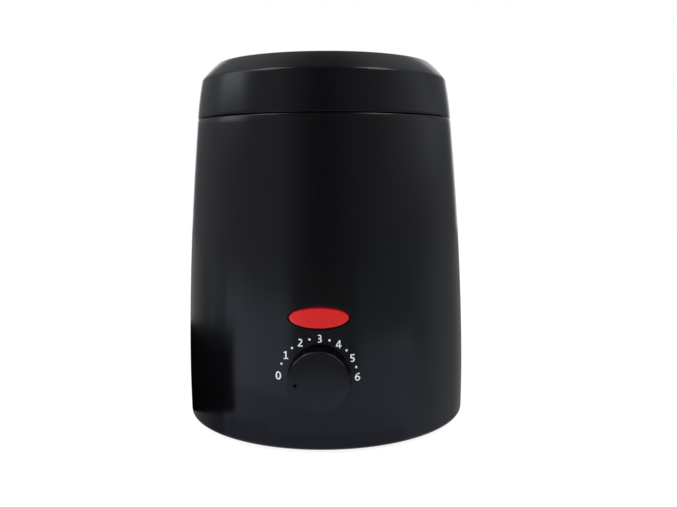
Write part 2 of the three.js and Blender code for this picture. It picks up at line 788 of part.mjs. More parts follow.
// Oval lens that follows the side of the housing, pushed in from behind up to its flange.
function indicatorLens() {
  const layer = (below, above) => {
    const [low, high] = [lensHeight - 2 * lensHalfHeight, lensHeight + 2 * lensHalfHeight];
    const outer = sidePoints(low, high, above, cornerSteps);
    const inner = sidePoints(high, low, -below, cornerSteps);
    return solidOf(revolve([...outer, ...inner], shellSides));
  };
  const column = (halfWidth, halfHeight) =>
    solidOf(
      faceFront(raise(ellipse(halfWidth, halfHeight), holderBack, knobFace, boreSides), lensHeight),
    );
  const face = column(lensHalfWidth - clearance, lensHalfHeight - clearance);
  const flange = column(lensHalfWidth + lensFlange, lensHalfHeight + lensFlange);
  return face
    .intersect(layer(lensFlangeBack, lensProud))
    .add(flange.intersect(layer(lensFlangeBack, -(wall + clearance))));
}

const holderHalfHeight = lampRadius + clearance + holderWall;
const holderHalfWidth = lampLength / 2 + clearance + holderWall;

// Cup behind the lens that holds the lamp: its open end follows the back of the lens.
function lampHolder() {
  const outerRadius = lensWall - lensFlangeBack - 2 * clearance;
  const outside = roundedRectangle(2 * holderHalfWidth, 2 * holderHalfHeight, holderWall);
  const insideWidth = 2 * (holderHalfWidth - holderWall);
  const insideHeight = 2 * (holderHalfHeight - holderWall);
  const inside = roundedRectangle(insideWidth, insideHeight, clearance);
  const cup = raise(outside, holderBack, outerRadius + runOut);
  const hollow = raise(inside, holderBack + holderWall, outerRadius + 2 * runOut);
  const round = cylinder(outerRadius, -2 * holderHalfHeight, 2 * holderHalfHeight, shellSides);
  return cut(solidOf(cup).intersect(solidOf(round.rotateX(Math.PI / 2))), hollow);
}

// Glow lamp: a glass envelope that lies across the holder.
function neonLamp() {
  const straight = lampLength - 2 * lampRadius;
  const capsule = new THREE.CapsuleGeometry(lampRadius, straight, cornerSteps, smallSides);
  const middle = holderBack + holderWall + clearance + lampRadius;
  return solidOf(capsule.rotateZ(Math.PI / 2).translate(0, 0, middle));
}

const bandBottomZ = wellBottomZ + bandRise;
const bandTopZ = bandBottomZ + bandHeight;
const bandInner = wellSideRadius(bandTopZ) + clearance;
const bandOuter = bandInner + bandThickness;
const strapInner = bandOuter + clearance;

// Heater band round the lower part of the well, with two blades for its leads.
function heaterBand() {
  const ring = raise(openRing(bandInner, bandOuter, bandGapAngle, potSides), bandBottomZ, bandTopZ);
  const blade = box(tabThickness, tabWidth, bandBottomZ - tabLength, bandBottomZ + runOut);
  blade.translate((bandInner + bandOuter) / 2, 0, 0);
  return joined(
    solidOf(ring),
    blade.clone().rotateZ(radians(bandTabAngle)),
    blade.clone().rotateZ(radians(-bandTabAngle)),
  );
}

const strapBottomZ = (bandBottomZ + bandTopZ - strapHeight) / 2;
const strapMiddleZ = strapBottomZ + strapHeight / 2;
const earY = strapInner * Math.sin(radians(bandGapAngle)); // inner face of a clamp ear
const clampScrewX = strapInner + strapThickness + strapEarLength / 2;

// Steel strap that clamps the band, with two drilled ears.
function clampStrap() {
  const outer = strapInner + strapThickness;
  const topZ = strapBottomZ + strapHeight;
  const ring = raise(openRing(strapInner, outer, bandGapAngle, potSides), strapBottomZ, topZ);
  const earStart = strapInner * Math.cos(radians(bandGapAngle));
  const earLength = outer + strapEarLength - earStart;
  const ear = box(earLength, strapThickness, strapBottomZ, topZ);
  ear.translate(earStart + earLength / 2, 0, 0);
  const hole = cylinder(screwPilot + clearance, -bandOuter / 2, bandOuter / 2, smallSides);
  hole.rotateX(Math.PI / 2).translate(clampScrewX, 0, strapMiddleZ);
  const solid = joined(
    solidOf(ring),
    ear.clone().translate(0, earY + strapThickness / 2, 0),
    ear.clone().translate(0, -earY - strapThickness / 2, 0),
  );
  return cut(solid, hole);
}

const earOutside = earY + strapThickness + clearance;

function clampScrew() {
  return screwSolid(2 * earOutside + nutThickness + runOut);
}

function clampNut() {
  return hexNut(screwHeadRadius, screwRadius + clearance, 2 * wireSides, 0);
}

// Distance from the middle of a barrel to the screw of its clip.
function clipScrewDistance(barrelRadius) {
  return barrelRadius + clearance + clipThickness + clipEarLength / 2;
}

// Spring clip that holds a barrel of a radius under the well: a flat ear and a loop below the barrel.
// It is drawn with Y across the barrel and Z up, and the middle of the barrel at the origin.
function barrelClip(barrelRadius) {
  const inner = barrelRadius + clearance;
  const outer = inner + clipThickness;
  const earEnd = outer + clipEarLength;
  const outline = new THREE.Shape([
    at(earEnd, barrelRadius),
    at(inner, barrelRadius),
    ...arc(0, 0, inner, 0, -180, smallSides),
    at(-inner, barrelRadius),
    at(-outer, barrelRadius),
    ...arc(0, 0, outer, -180, 0, smallSides),
    at(outer, barrelRadius - clipThickness),
    at(earEnd, barrelRadius - clipThickness),
  ]);
  const strip = raise(outline, -clipWidth / 2, clipWidth / 2).rotateX(Math.PI / 2).rotateZ(Math.PI / 2);
  const hole = cylinder(screwPilot + clearance, 0, 2 * barrelRadius, smallSides);
  return cut(solidOf(strip), hole.translate(0, clipScrewDistance(barrelRadius), 0));
}

function barrel(radius, length) {
  const half = length / 2;
  return solidOf(cylinder(radius, -half, half, smallSides).rotateY(Math.PI / 2));
}

// A barrel, its clip and the clip's screw, hung under the well on one side of its middle.
function clippedBarrel(names, finish, radius, length, y) {
  const group = new THREE.Group();
  const screwLength = clipThickness + clearance + wellFloor - blindFloor;
  const screw = piece(names.screw, "brightSteel", screwSolid(screwLength));
  screw.position.set(0, clipScrewDistance(radius), radius - clipThickness - clearance);
  group.add(
    piece(names.barrel, finish, barrel(radius, length)),
    piece(names.clip, "brightSteel", barrelClip(radius)),
    screw,
  );
  group.position.set(0, y, wellBottomZ - clearance - radius);
  if (y < 0) group.rotation.z = Math.PI;
  return group;
}

// Base plate: closes the housing, with slots for air, pockets for the feet and bosses for screws.
function basePlate() {
  const disc = cylinder(plateRadius, rimZ, plateTopZ, shellSides);
  const ribOuter = plateRadius - plateRibInset;
  const rib = revolve(
    [
      at(ribOuter - plateRibWall, plateTopZ - plateThickness / 2),
      at(ribOuter, plateTopZ - plateThickness / 2),
      at(ribOuter, plateBossZ),
      at(ribOuter - plateRibWall, plateBossZ),
    ],
    shellSides,
  );
  const boss = cylinder(plateBossRadius, plateTopZ - plateThickness / 2, plateBossZ, boreSides);
  boss.translate(postCircle, 0, 0);
  const head = cylinder(screwHeadRadius + clearance, rimZ - runOut, rimZ + counterboreDepth, smallSides);
  const shank = cylinder(screwRadius + clearance, rimZ, plateBossZ + runOut, smallSides);
  const pocketZ = rimZ + footInset + clearance;
  const footPocket = cylinder(footRadius + clearance, rimZ - runOut, pocketZ, boreSides);
  const radius = ventWidth / 2;
  const vent = raise(
    new THREE.Shape([
      ...arc(ventOuter - radius, 0, radius, -90, 90, edgeSteps),
      ...arc(ventInner + radius, 0, radius, 90, 270, edgeSteps),
    ]),
    rimZ - runOut,
    plateTopZ + runOut,
  );
  const blockHole = cylinder(screwPilot, rimZ + blindFloor, plateTopZ + runOut, smallSides);
  return cut(
    joined(solidOf(disc), rib, ...around(boss, postCount, postAngle)),
    ...around(head.translate(postCircle, 0, 0), postCount, postAngle),
    ...around(shank.translate(postCircle, 0, 0), postCount, postAngle),
    ...around(footPocket.translate(footCircle, 0, 0), footCount),
    ...around(vent, ventCount),
    blockHole.translate(blockX, blockY, 0),
  );
}

function baseScrews() {
  const headTop = rimZ + counterboreDepth - clearance;
  const length = postBottomZ + postHoleDepth - runOut - headTop;
  return ringOf("base_screw", "brightSteel", screwSolid(length), {
    count: postCount,
    angle: postAngle,
    radius: postCircle,
    z: headTop,
  });
}

function feet() {
  const top = rimZ + footInset;
  const profile = [
    at(0, 0),
    at(footRadius - footChamfer, 0),
    at(footRadius, footChamfer),
    at(footRadius, top),
    at(0, top),
  ];
  return ringOf("foot", "blackRubber", solidOf(revolve(profile, boreSides)), {
    count: footCount,
    angle: 0,
    radius: footCircle,
    z: 0,
  });
}

// Mains inlet: a bezelled body with a two-lobed socket.
function mainsInlet() {
  const bezel = roundedRectangle(bezelWidth, bezelTall, bezelCorner);
  const body = raise(roundedRectangle(inletWidth, inletTall, inletCorner), inletBack, bezelBack + runOut);
  const socketFloor = inletFace - socketDepth;
  const lobe = cylinder(socketLobeRadius, socketFloor, inletFace + runOut, boreSides);
  const pinHole = cylinder(pinRadius + clearance, inletBack - runOut, inletFace, smallSides);
  const cutters = [-1, 1].flatMap((side) => [
    lobe.clone().translate((side * pinSpacing) / 2, 0, 0),
    pinHole.clone().translate((side * pinSpacing) / 2, 0, 0),
  ]);
  const waist = box(pinSpacing, 2 * socketWaist, socketFloor, inletFace + runOut);
  return cut(joined(solidOf(raise(bezel, bezelBack, inletFace)), body), ...cutters, waist);
}

function inletPin(side) {
  const pin = cylinder(pinRadius, inletBack - pinTail, inletFace - pinSetback, smallSides);
  return solidOf(pin.translate((side * pinSpacing) / 2, 0, 0));
}

const blockBottomZ = plateTopZ + clearance;
const blockWidth = blockPoles * blockPitch + holderWall;
const blockScrewSeat = blockBottomZ + blockHeight / 2;

// Terminal block on the base plate, one hump for each pole.
function terminalBlock() {
  const top = blockBottomZ + blockHeight;
  const humps = [];
  const wells = [];
  for (let pole = 0; pole < blockPoles; pole += 1) {
    const x = (pole - (blockPoles - 1) / 2) * blockPitch;
    for (const y of [-blockLength / 3, blockLength / 3]) {
      const hump = cylinder(blockHumpRadius, top - runOut, top + blockHumpHeight, smallSides);
      const well = cylinder(blockHumpRadius / 2, top, top + 2 * blockHumpHeight, smallSides);
      humps.push(hump.translate(x, y, 0));
      wells.push(well.translate(x, y, 0));
    }
  }
  const head = cylinder(screwHeadRadius + clearance, blockScrewSeat, top + runOut, smallSides);
  const shank = cylinder(screwRadius + clearance, blockBottomZ - runOut, top, smallSides);
  const block = solidOf(raise(roundedRectangle(blockWidth, blockLength, holderWall), blockBottomZ, top));
  return cut(joined(block, ...humps), ...wells, head, shank);
}

// Points of a lead: straight out of each end, and bowed to one side of the line between.
function leadRoute({ from, out, to, into, bow }) {
  const moved = (place, direction, length) => place.map((value, axis) => value + direction[axis] * length);
  const start = moved(from, out, leadStraight);
  const end = moved(to, into, leadStraight);
  const middle = start.map((value, axis) => (value + end[axis]) / 2 + bow[axis] * leadBow);
  return [from, start, middle, end, to];
}

// Internal leads and the capillary. Each one ends a clearance away from what it is joined to.
function leads() {
  const [left, right, front, back, up, down] = [
    [-1, 0, 0],
    [1, 0, 0],
    [0, -1, 0],
    [0, 1, 0],
    [0, 0, 1],
    [0, 0, -1],
  ];
  const pole = (number, side) => [
    blockX + (number - (blockPoles + 1) / 2) * blockPitch,
    blockY + side * (blockLength / 2 + clearance),
    blockBottomZ + blockHeight / 2,
  ];
  const blockEnd = [
    blockX - blockWidth / 2 - clearance,
    blockY - blockLength / 4,
    blockBottomZ + blockHeight / 2,
  ];
  const pin = (side) => [(side * pinSpacing) / 2, inletBack - pinTail - clearance, inletHeight];
  const blade = (side) => [
    (side * tabSpacing) / 2,
    -(thermostatBack - tabLength - clearance),
    knobHeight,
  ];
  const bandBlade = (side) => {
    const radius = (bandInner + bandOuter) / 2;
    const angle = radians(side * bandTabAngle);
    return [radius * Math.cos(angle), radius * Math.sin(angle), bandBottomZ - tabLength - clearance];
  };
  const fuse = (side) => [
    side * (fuseLength / 2 + clearance),
    fuseOffset,
    wellBottomZ - clearance - fuseRadius,
  ];
  const gland = [
    -thermostatWidth / 2 + thermostatCorner,
    -thermostatMiddle,
    knobHeight + thermostatWidth / 2 + glandHeight + clearance,
  ];
  const bulb = [-bulbLength / 2 - clearance, -bulbOffset, wellBottomZ - clearance - bulbRadius];
  const lamp = (side) => [side * lampRadius, -(holderBack - clearance), lensHeight];
  const capillary = { from: gland, out: up, to: bulb, into: left, bow: [-1, -0.6, 0.3] };
  const runs = {
    wire_inlet_live: { from: pin(-1), out: front, to: pole(1, 1), into: back, bow: [0, 0, 0] },
    wire_inlet_neutral: { from: pin(1), out: front, to: pole(2, 1), into: back, bow: [0.4, 0.2, 0.2] },
    wire_live_thermostat: { from: pole(1, -1), out: front, to: blade(1), into: back, bow: [0, 0, 0] },
    wire_thermostat_fuse: { from: blade(-1), out: back, to: fuse(-1), into: left, bow: [-0.6, 0, -0.4] },
    wire_fuse_band: { from: fuse(1), out: right, to: bandBlade(1), into: down, bow: [0, 0, -0.3] },
    wire_band_neutral: { from: pole(2, -1), out: front, to: bandBlade(-1), into: down, bow: [0.6, 0, 0] },
    lamp_lead_live: { from: lamp(-1), out: back, to: blockEnd, into: left, bow: [-0.2, 0.6, 0.2] },
    lamp_lead_neutral: { from: lamp(1), out: back, to: pole(3, -1), into: front, bow: [0.5, 0, 0.5] },
  };
  const lead = (name, finish, run, radius) =>
    piece(name, finish, solidOf(tubeThrough(leadRoute(run), radius, leadSteps)));
  const wires = Object.entries(runs).map(([name, run]) => {
    const finish = name.includes("neutral") ? "blueInsulation" : "brownInsulation";
    return lead(name, finish, run, name.startsWith("lamp") ? lampLeadRadius : wireRadius);
  });
  return [lead("capillary_tube", "copper", capillary, capillaryRadius), ...wires];
}

const fuseNames = { barrel: "thermal_fuse", clip: "fuse_clip", screw: "fuse_clip_screw" };
const bulbNames = { barrel: "sensor_bulb", clip: "bulb_clip", screw: "bulb_clip_screw" };

const clampScrewMesh = piece("clamp_screw", "brightSteel", clampScrew());
clampScrewMesh.rotation.x = -Math.PI / 2;
clampScrewMesh.position.set(clampScrewX, -earOutside, strapMiddleZ);
const clampNutMesh = piece("clamp_nut", "brightSteel", clampNut());
clampNutMesh.rotation.x = -Math.PI / 2;
clampNutMesh.position.set(clampScrewX, earOutside, strapMiddleZ);

const blockMesh = piece("terminal_block", "whiteCeramic", terminalBlock());
blockMesh.position.set(blockX, blockY, 0);
const blockScrewLength = blockScrewSeat - (plateTopZ - plateThickness / 2);
const blockScrewMesh = piece("terminal_block_screw", "brightSteel", screwSolid(blockScrewLength));
blockScrewMesh.rotation.x = Math.PI;
blockScrewMesh.position.set(blockX, blockY, blockScrewSeat + clearance);

const heater = new THREE.Group();
heater.add(
  piece("housing", "housingPlastic", housing()),
  piece("top_collar", "darkPlastic", topCollar()),
  ...collarScrews(),
  piece("heating_well", "castAluminium", heatingWell()),
  piece("pot", "castAluminium", pot()),
  piece("bail", "brightSteel", bail()),
  piece("lid", "housingPlastic", lid()),
  facing(
    Math.PI / 2,
    knobHeight,
    piece("control_knob", "housingPlastic", controlKnob()),
    piece("thermostat_shaft", "brightSteel", thermostatShaft()),
    piece("thermostat_body", "whiteCeramic", thermostatBody()),
    piece("thermostat_nut", "brightSteel", thermostatNut()),
    piece("thermostat_washer", "brightSteel", thermostatWasher()),
  ),
  piece("indicator_lens", "redLens", indicatorLens()),
  facing(
    Math.PI / 2,
    lensHeight,
    piece("lamp_holder", "darkPlastic", lampHolder()),
    piece("neon_lamp", "clearGlass", neonLamp()),
  ),
  piece("heater_band", "micaWrap", heaterBand()),
  piece("clamp_strap", "brightSteel", clampStrap()),
  clampScrewMesh,
  clampNutMesh,
  clippedBarrel(fuseNames, "whiteCeramic", fuseRadius, fuseLength, fuseOffset),
  clippedBarrel(bulbNames, "copper", bulbRadius, bulbLength, -bulbOffset),
  piece("base_plate", "darkPlastic", basePlate()),
  ...baseScrews(),
  ...feet(),
  facing(
    -Math.PI / 2,
    inletHeight,
    piece("mains_inlet", "darkPlastic", mainsInlet()),
    piece("inlet_pin_live", "brightSteel", inletPin(-1)),
    piece("inlet_pin_neutral", "brightSteel", inletPin(1)),
  ),
  blockMesh,
  blockScrewMesh,
  ...leads(),
);

export default heater;
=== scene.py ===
# Wax heater: fine outer pieces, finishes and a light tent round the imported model.
# Metres in Blender, +Z up, the knob faces -Y. Sizes in the dictionaries are millimetres.
import math
import bpy
import numpy as np
from mathutils import Matrix


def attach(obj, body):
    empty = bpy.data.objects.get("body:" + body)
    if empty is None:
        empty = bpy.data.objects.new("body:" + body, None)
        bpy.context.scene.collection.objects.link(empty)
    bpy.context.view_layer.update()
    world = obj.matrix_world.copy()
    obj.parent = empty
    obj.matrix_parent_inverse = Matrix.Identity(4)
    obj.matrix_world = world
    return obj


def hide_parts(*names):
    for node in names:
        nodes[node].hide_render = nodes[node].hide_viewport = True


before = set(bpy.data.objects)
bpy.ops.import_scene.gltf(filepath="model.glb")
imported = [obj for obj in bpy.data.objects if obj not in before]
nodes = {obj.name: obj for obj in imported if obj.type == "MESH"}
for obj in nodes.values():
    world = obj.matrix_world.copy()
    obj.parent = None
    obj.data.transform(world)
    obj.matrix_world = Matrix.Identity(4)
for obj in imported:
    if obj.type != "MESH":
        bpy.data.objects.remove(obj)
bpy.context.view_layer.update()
print("frame loaded,", len(nodes), "nodes")

millimetre = 0.001
poleRadius = 1.0  # of the ring round the middle of a turned solid's flat end
offAxis = 1e-4  # keeps an angle off nought, where a reach would be divided by it


def pick(form, names):
    # several values of a dictionary at once
    return [form[name] for name in names.split()]


# Shapes are arrays of points in millimetres, made into shells of (points, faces).

def evenAngles(count, startDegrees=0.0):
    # the start plus even shares of a full turn, in radians
    return np.radians(startDegrees) + np.arange(count) * 2 * np.pi / count


def unitCircle(angle):
    # cos and sin of each angle
    return np.column_stack([np.cos(angle), np.sin(angle)])


def circleArc(x, y, radius, fromDegrees, toDegrees, steps):
    # points of a circle: the centre plus radius times cos and sin of even angles
    return [x, y] + radius * unitCircle(np.radians(np.linspace(fromDegrees, toDegrees, steps + 1)))


def easedLine(corners, steps=6):
    # a line through corners of (x, y, reach), each one eased: the corner plus (1-s)^2 of its reach back along
    # the line and s^2 of its reach forward, for s from 0 to 1; a reach of 0 keeps the corner sharp
    corners = np.asarray(corners, float)
    corners, reach = corners[:, :2], corners[:, 2, None, None]
    before = np.vstack([corners[:1], corners[:-1]]) - corners
    after = np.vstack([corners[1:], corners[-1:]]) - corners
    before /= np.maximum(np.linalg.norm(before, axis=1, keepdims=True), 1e-9)
    after /= np.maximum(np.linalg.norm(after, axis=1, keepdims=True), 1e-9)
    s = np.linspace(0, 1, steps + 1)[None, :, None]
    points = corners[:, None] + reach * (before[:, None] * (1 - s) ** 2 + after[:, None] * s**2)
    points = points.reshape(-1, 2)
    fresh = np.linalg.norm(np.diff(points, axis=0), axis=1) > 1e-5
    return points[np.concatenate([[True], fresh])]


def outlineRings(outlines, heights):
    # flat outlines of equal counts, each lifted to its own height
    outlines = np.asarray(outlines, float)
    lift = np.asarray(heights, float)[:, None, None] * np.ones(outlines.shape[:2] + (1,))
    return np.concatenate([outlines, lift], 2)


def turnedRings(profile, sides):
    # each (radius, height) becomes a ring: radius times cos and sin of even angles, at that height
    radius, height = np.asarray(profile, float).T
    return outlineRings(radius[:, None, None] * unitCircle(evenAngles(sides)), height)


def skin(rings, closed=False):
    # quads from each ring to the next; the end rings are shut by fans to their middle points,
    # or joined to each other when closed
    count, sides = rings.shape[:2]
    index = np.arange(count * sides).reshape(count, sides)
    points = rings.reshape(-1, 3)
    bands = np.vstack([index, index[:1]]) if closed else index
    low, high = bands[:-1], bands[1:]
    quads = np.stack([low, np.roll(low, -1, 1), np.roll(high, -1, 1), high], 2).reshape(-1, 4)
    if closed:
        return points, quads.tolist()
    poles = np.stack([rings[0].mean(0), rings[-1].mean(0)])
    first = np.full(sides, count * sides)
    start = np.stack([np.roll(index[0], -1), index[0], first], 1)
    end = np.stack([index[-1], np.roll(index[-1], -1), first + 1], 1)
    return np.vstack([points, poles]), quads.tolist() + start.tolist() + end.tolist()


def turnedShell(profile, sides, closed=False):
    # a profile of (radius, height) turned about Z
    return skin(turnedRings(profile, sides), closed)


def intoScene(name, data):
    # a new object in the scene
    made = bpy.data.objects.new(name, data)
    bpy.context.scene.collection.objects.link(made)
    return made


def flatPlate(outlines, low, high):
    # outlines filled flat, the first one outside and the others as holes, between two heights
    curve = bpy.data.curves.new("plate", "CURVE")
    curve.dimensions = "2D"
    curve.fill_mode = "BOTH"
    curve.extrude = (high - low) / 2
    for outline in outlines:
        line = curve.splines.new("POLY")
        line.points.add(len(outline) - 1)
        nought = 0 * outline[:, 0]
        line.points.foreach_set("co", np.column_stack([outline, nought, nought + 1]).ravel())
        line.use_cyclic_u = True
    drawn = intoScene("plate", curve)
    bpy.context.view_layer.update()
    mesh = bpy.data.meshes.new_from_object(drawn.evaluated_get(bpy.context.evaluated_depsgraph_get()))
    points = np.zeros(len(mesh.vertices) * 3, np.float32)
    mesh.vertices.foreach_get("co", points)
    faces = [list(face.vertices) for face in mesh.polygons]
    bpy.data.objects.remove(drawn)
    bpy.data.meshes.remove(mesh)
    points = points.reshape(-1, 3).astype(float)
    points[:, 2] += (low + high) / 2
    return points, faces


def facingOut(points, faces):
    # six times the volume is the sum of a . (b x c) over the triangles; a negative one is inside out
    corners = np.array([[f[0], f[i], f[i + 1]] for f in faces for i in range(1, len(f) - 1)])
    a, b, c = points[corners[:, 0]], points[corners[:, 1]], points[corners[:, 2]]
    if np.einsum("ij,ij->", a, np.cross(b, c)) < 0:
        faces = [face[::-1] for face in faces]
    return points, faces


def moved(shell, x):
    # x added to every point
    return shell[0] + np.array([x, 0.0, 0.0]), shell[1]


def turnedBy(points, angle):
    # flat or solid points turned about Z
    c, s = np.cos(angle), np.sin(angle)
    return points @ np.array([[c, s, 0], [-s, c, 0], [0, 0, 1]])[:points.shape[1], :points.shape[1]]


def aroundAxis(shell, count, startDegrees=0.0):
    # copies of a shell turned about Z by even angles
    return [(turnedBy(shell[0], turn), shell[1]) for turn in evenAngles(count, startDegrees)]


def toFront(shell, height):
    # a shell drawn with +Z outwards, turned to face the front at a height
    x, y, out = shell[0].T
    return np.column_stack([x, -out, height + y]), shell[1]


def toBack(shell, height):
    # the same, turned to face the back
    x, y, out = shell[0].T
    return np.column_stack([-x, out, height + y]), shell[1]


finishes = {}  # materials by name
sharpEdge = 35  # degrees


def makePiece(name, shells, body, finish, replaces=()):
    # one object of closed shells in millimetres, facing out, smooth up to an angle
    points, faces, count = [], [], 0
    for shell in shells:
        shellPoints, shellFaces = facingOut(*shell)
        points.append(shellPoints)
        faces += [[corner + count for corner in face] for face in shellFaces]
        count += len(shellPoints)
    mesh = bpy.data.meshes.new(name)
    mesh.from_pydata((np.vstack(points) * millimetre).tolist(), [], faces)
    mesh.update()
    mesh.shade_smooth()
    mesh.set_sharp_from_angle(angle=math.radians(sharpEdge))
    mesh.materials.append(finishes[finish])
    piece = intoScene(name, mesh)
    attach(piece, body)
    if replaces:
        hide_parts(*replaces)
    print("made", name, len(mesh.polygons), "faces")
    return piece


def addFinishes(piece, others, choose):
    # further materials, and the number of the one that each face has, chosen by its middle in millimetres
    mesh = piece.data
    for finish in others:
        mesh.materials.append(finishes[finish])
    middles = np.zeros(3 * len(mesh.polygons))
    mesh.polygons.foreach_get("center", middles)
    chosen = choose(*middles.reshape(-1, 3).T / millimetre)
    mesh.polygons.foreach_set("material_index", chosen.astype(np.int32))


# Finishes are read from Object coordinates, in metres.

def feed(tree, node, sockets):
    # each socket, by its name or number, gets a link or a value
    for name, value in sockets.items():
        if isinstance(value, bpy.types.NodeSocket):
            tree.links.new(value, node.inputs[name])
        else:
            node.inputs[name].default_value = value


def addNode(tree, kind, sockets, **settings):
    # a shader node with its settings made and its sockets fed
    node = tree.nodes.new("ShaderNode" + kind)
    for name, value in settings.items():
        setattr(node, name, value)
    feed(tree, node, sockets)
    return node


def newMaterial(name):
    # a material, its tree and its shader
    material = bpy.data.materials.new(name)
    material.use_nodes = True
    return material, material.node_tree, material.node_tree.nodes["Principled BSDF"]


def newFinish(name):
    # a new one of the finishes: its tree, its shader and the place on the piece
    finishes[name], tree, shader = newMaterial(name)
    return tree, shader, addNode(tree, "TexCoord", {}).outputs["Object"]


def noiseAt(tree, vector, scale, detail=2.0, roughness=0.5):
    # soft noise from 0 to 1
    sockets = {"Vector": vector, "Scale": scale, "Detail": detail, "Roughness": roughness}
    return addNode(tree, "TexNoise", sockets).outputs["Fac"]


def toneMix(tree, share, dark, light):
    # the dark colour times one less the share, plus the light one times the share
    mix = addNode(tree, "Mix", {"Factor": share, "A": (*dark, 1), "B": (*light, 1)}, data_type="RGBA")
    return mix.outputs["Result"]


noiseMiddle = {"From Min": 0.3, "From Max": 0.7}  # the range that most of a noise lies in


def coat(tree, shader, look, tone, rough, bumps):
    # one noise leads the colour from dark to light, another the roughness from the first to the second;
    # the bumps lie on each other, each one (height, distance in metres, strength)
    if tone:
        feed(tree, shader, {"Base Color": toneMix(tree, tone, look["dark"], look["light"])})
    least, most = look["roughness"]
    rough = addNode(tree, "MapRange", {"Value": rough, **noiseMiddle, "To Min": least, "To Max": most})
    normal = {}
    for height, distance, strength in bumps:
        bump = addNode(tree, "Bump", {"Height": height, "Distance": distance, "Strength": strength, **normal})
        normal = {"Normal": bump.outputs["Normal"]}
    feed(tree, shader, {"Roughness": rough.outputs["Result"], **normal})


# In the looks, a noise has its scale, in parts to the metre, and the depth of its bumps in metres

def mouldedPlastic(name, look):
    # moulded plastic: a fine etched grain, broad faint sink marks and handling marks in the gloss
    tree, shader, place = newFinish(name)
    (grainScale, grainDepth), (broadScale, broadDepth) = look["grain"], look["broad"]
    grain = noiseAt(tree, place, grainScale, 3.0, 0.6)
    broad = noiseAt(tree, place, broadScale)
    marks = noiseAt(tree, place, look["marks"], 4.0, 0.65)
    coat(tree, shader, look, broad, marks, [(grain, grainDepth, 0.5), (broad, broadDepth, 0.5)])
    feed(tree, shader, {"Specular IOR Level": look["gloss"]})


knobTones = {"dark": (0.0016, 0.0017, 0.0019), "light": (0.0023, 0.0024, 0.0028)}
silicone = {"roughness": (0.40, 0.52), "gloss": 0.4,
            "grain": (1600, 2e-5), "broad": (150, 2e-5), "marks": 300}
plastics = {
    "blackPlastic": {"dark": (0.0016, 0.0017, 0.0019), "light": (0.0022, 0.0023, 0.0027),
                     "roughness": (0.17, 0.21), "gloss": 0.25,
                     "grain": (3200, 1.2e-5), "broad": (55, 4e-5), "marks": 160},
    "knobPlastic": {**knobTones, "roughness": (0.18, 0.23), "gloss": 0.28,
                    "grain": (3600, 1.2e-5), "broad": (120, 2e-5), "marks": 300},
    # painted shade: a copy of the knob's plastic with nearly no gloss, which darkens the knob's side and its
    # dimple
    "knobSidePlastic": {**knobTones, "roughness": (0.42, 0.50), "gloss": 0.01,
                        "grain": (3000, 2e-5), "broad": (120, 2e-5), "marks": 300},
    # painted highlight: a glossier copy of the knob's plastic, laid only on the upper part of the rounded
    # edge
    "knobEdgePlastic": {**knobTones, "roughness": (0.12, 0.16), "gloss": 1.0,
                        "grain": (3600, 8e-6), "broad": (120, 1e-5), "marks": 300},
    "darkPlastic": {"dark": (0.0060, 0.0060, 0.0064), "light": (0.0095, 0.0095, 0.0100),
                    "roughness": (0.44, 0.54), "gloss": 0.4,
                    "grain": (2600, 3e-5), "broad": (80, 2e-5), "marks": 220},
    "whitePlastic": {"dark": (0.62, 0.60, 0.54), "light": (0.74, 0.72, 0.66),
                     "roughness": (0.42, 0.56), "gloss": 0.5,
                     "grain": (2400, 3e-5), "broad": (90, 2e-5), "marks": 260},
    "blackRubber": {"dark": (0.010, 0.010, 0.010), "light": (0.018, 0.018, 0.018),
                    "roughness": (0.72, 0.86), "gloss": 0.35,
                    "grain": (1800, 4e-5), "broad": (200, 3e-5), "marks": 400},
    "blueSilicone": {"dark": (0.020, 0.065, 0.26), "light": (0.032, 0.090, 0.34), **silicone},
    "brownSilicone": {"dark": (0.085, 0.030, 0.012), "light": (0.130, 0.048, 0.020), **silicone},
}


def workedMetal(name, look):
    # turned or drawn metal: fine lines round the axis, which are noise squeezed along radius and
    # height and drawn out round the turn, over a broad change of tone
    tree, shader, place = newFinish(name)
    (lineScale, lineDepth), (broadScale, broadDepth) = look["lines"], look["broad"]
    x, y, z = addNode(tree, "SeparateXYZ", {0: place}).outputs
    flat = addNode(tree, "CombineXYZ", {"X": x, "Y": y}).outputs[0]
    reach = addNode(tree, "VectorMath", {0: flat}, operation="LENGTH").outputs["Value"]
    lines = noiseAt(tree, addNode(tree, "CombineXYZ", {"X": reach, "Y": z}).outputs[0], lineScale, 3.0, 0.7)
    broad = noiseAt(tree, place, broadScale, 3.0)
    coat(tree, shader, look, broad, lines, [(lines, lineDepth, 0.5), (broad, broadDepth, 0.4)])
    feed(tree, shader, {"Metallic": 1.0})


metals = {
    "spunAluminium": {"dark": (0.62, 0.63, 0.64), "light": (0.74, 0.75, 0.76), "roughness": (0.24, 0.38),
                      "lines": (2200, 1.5e-5), "broad": (40, 3e-5)},
    "platedSteel": {"dark": (0.50, 0.51, 0.52), "light": (0.64, 0.64, 0.63), "roughness": (0.20, 0.34),
                    "lines": (3000, 1e-5), "broad": (260, 1e-5)},
    "drawnCopper": {"dark": (0.55, 0.24, 0.12), "light": (0.76, 0.39, 0.22), "roughness": (0.25, 0.42),
                    "lines": (2600, 1e-5), "broad": (180, 2e-5)},
}


def pressedMica(name, look):
    # flakes in layers: cells of slightly different tone with a faint step between them
    tree, shader, place = newFinish(name)
    scale, depth = look["flakes"]
    flakes = addNode(tree, "TexVoronoi", {"Vector": place, "Scale": scale}).outputs
    tone = noiseAt(tree, flakes["Position"], look["tone"], 1.0)
    coat(tree, shader, look, tone, tone, [(flakes["Distance"], depth, 0.4)])


micas = {"micaWrap": {"dark": (0.30, 0.24, 0.14), "light": (0.52, 0.44, 0.28), "roughness": (0.35, 0.6),
                      "flakes": (320, 5e-5), "tone": 900}}


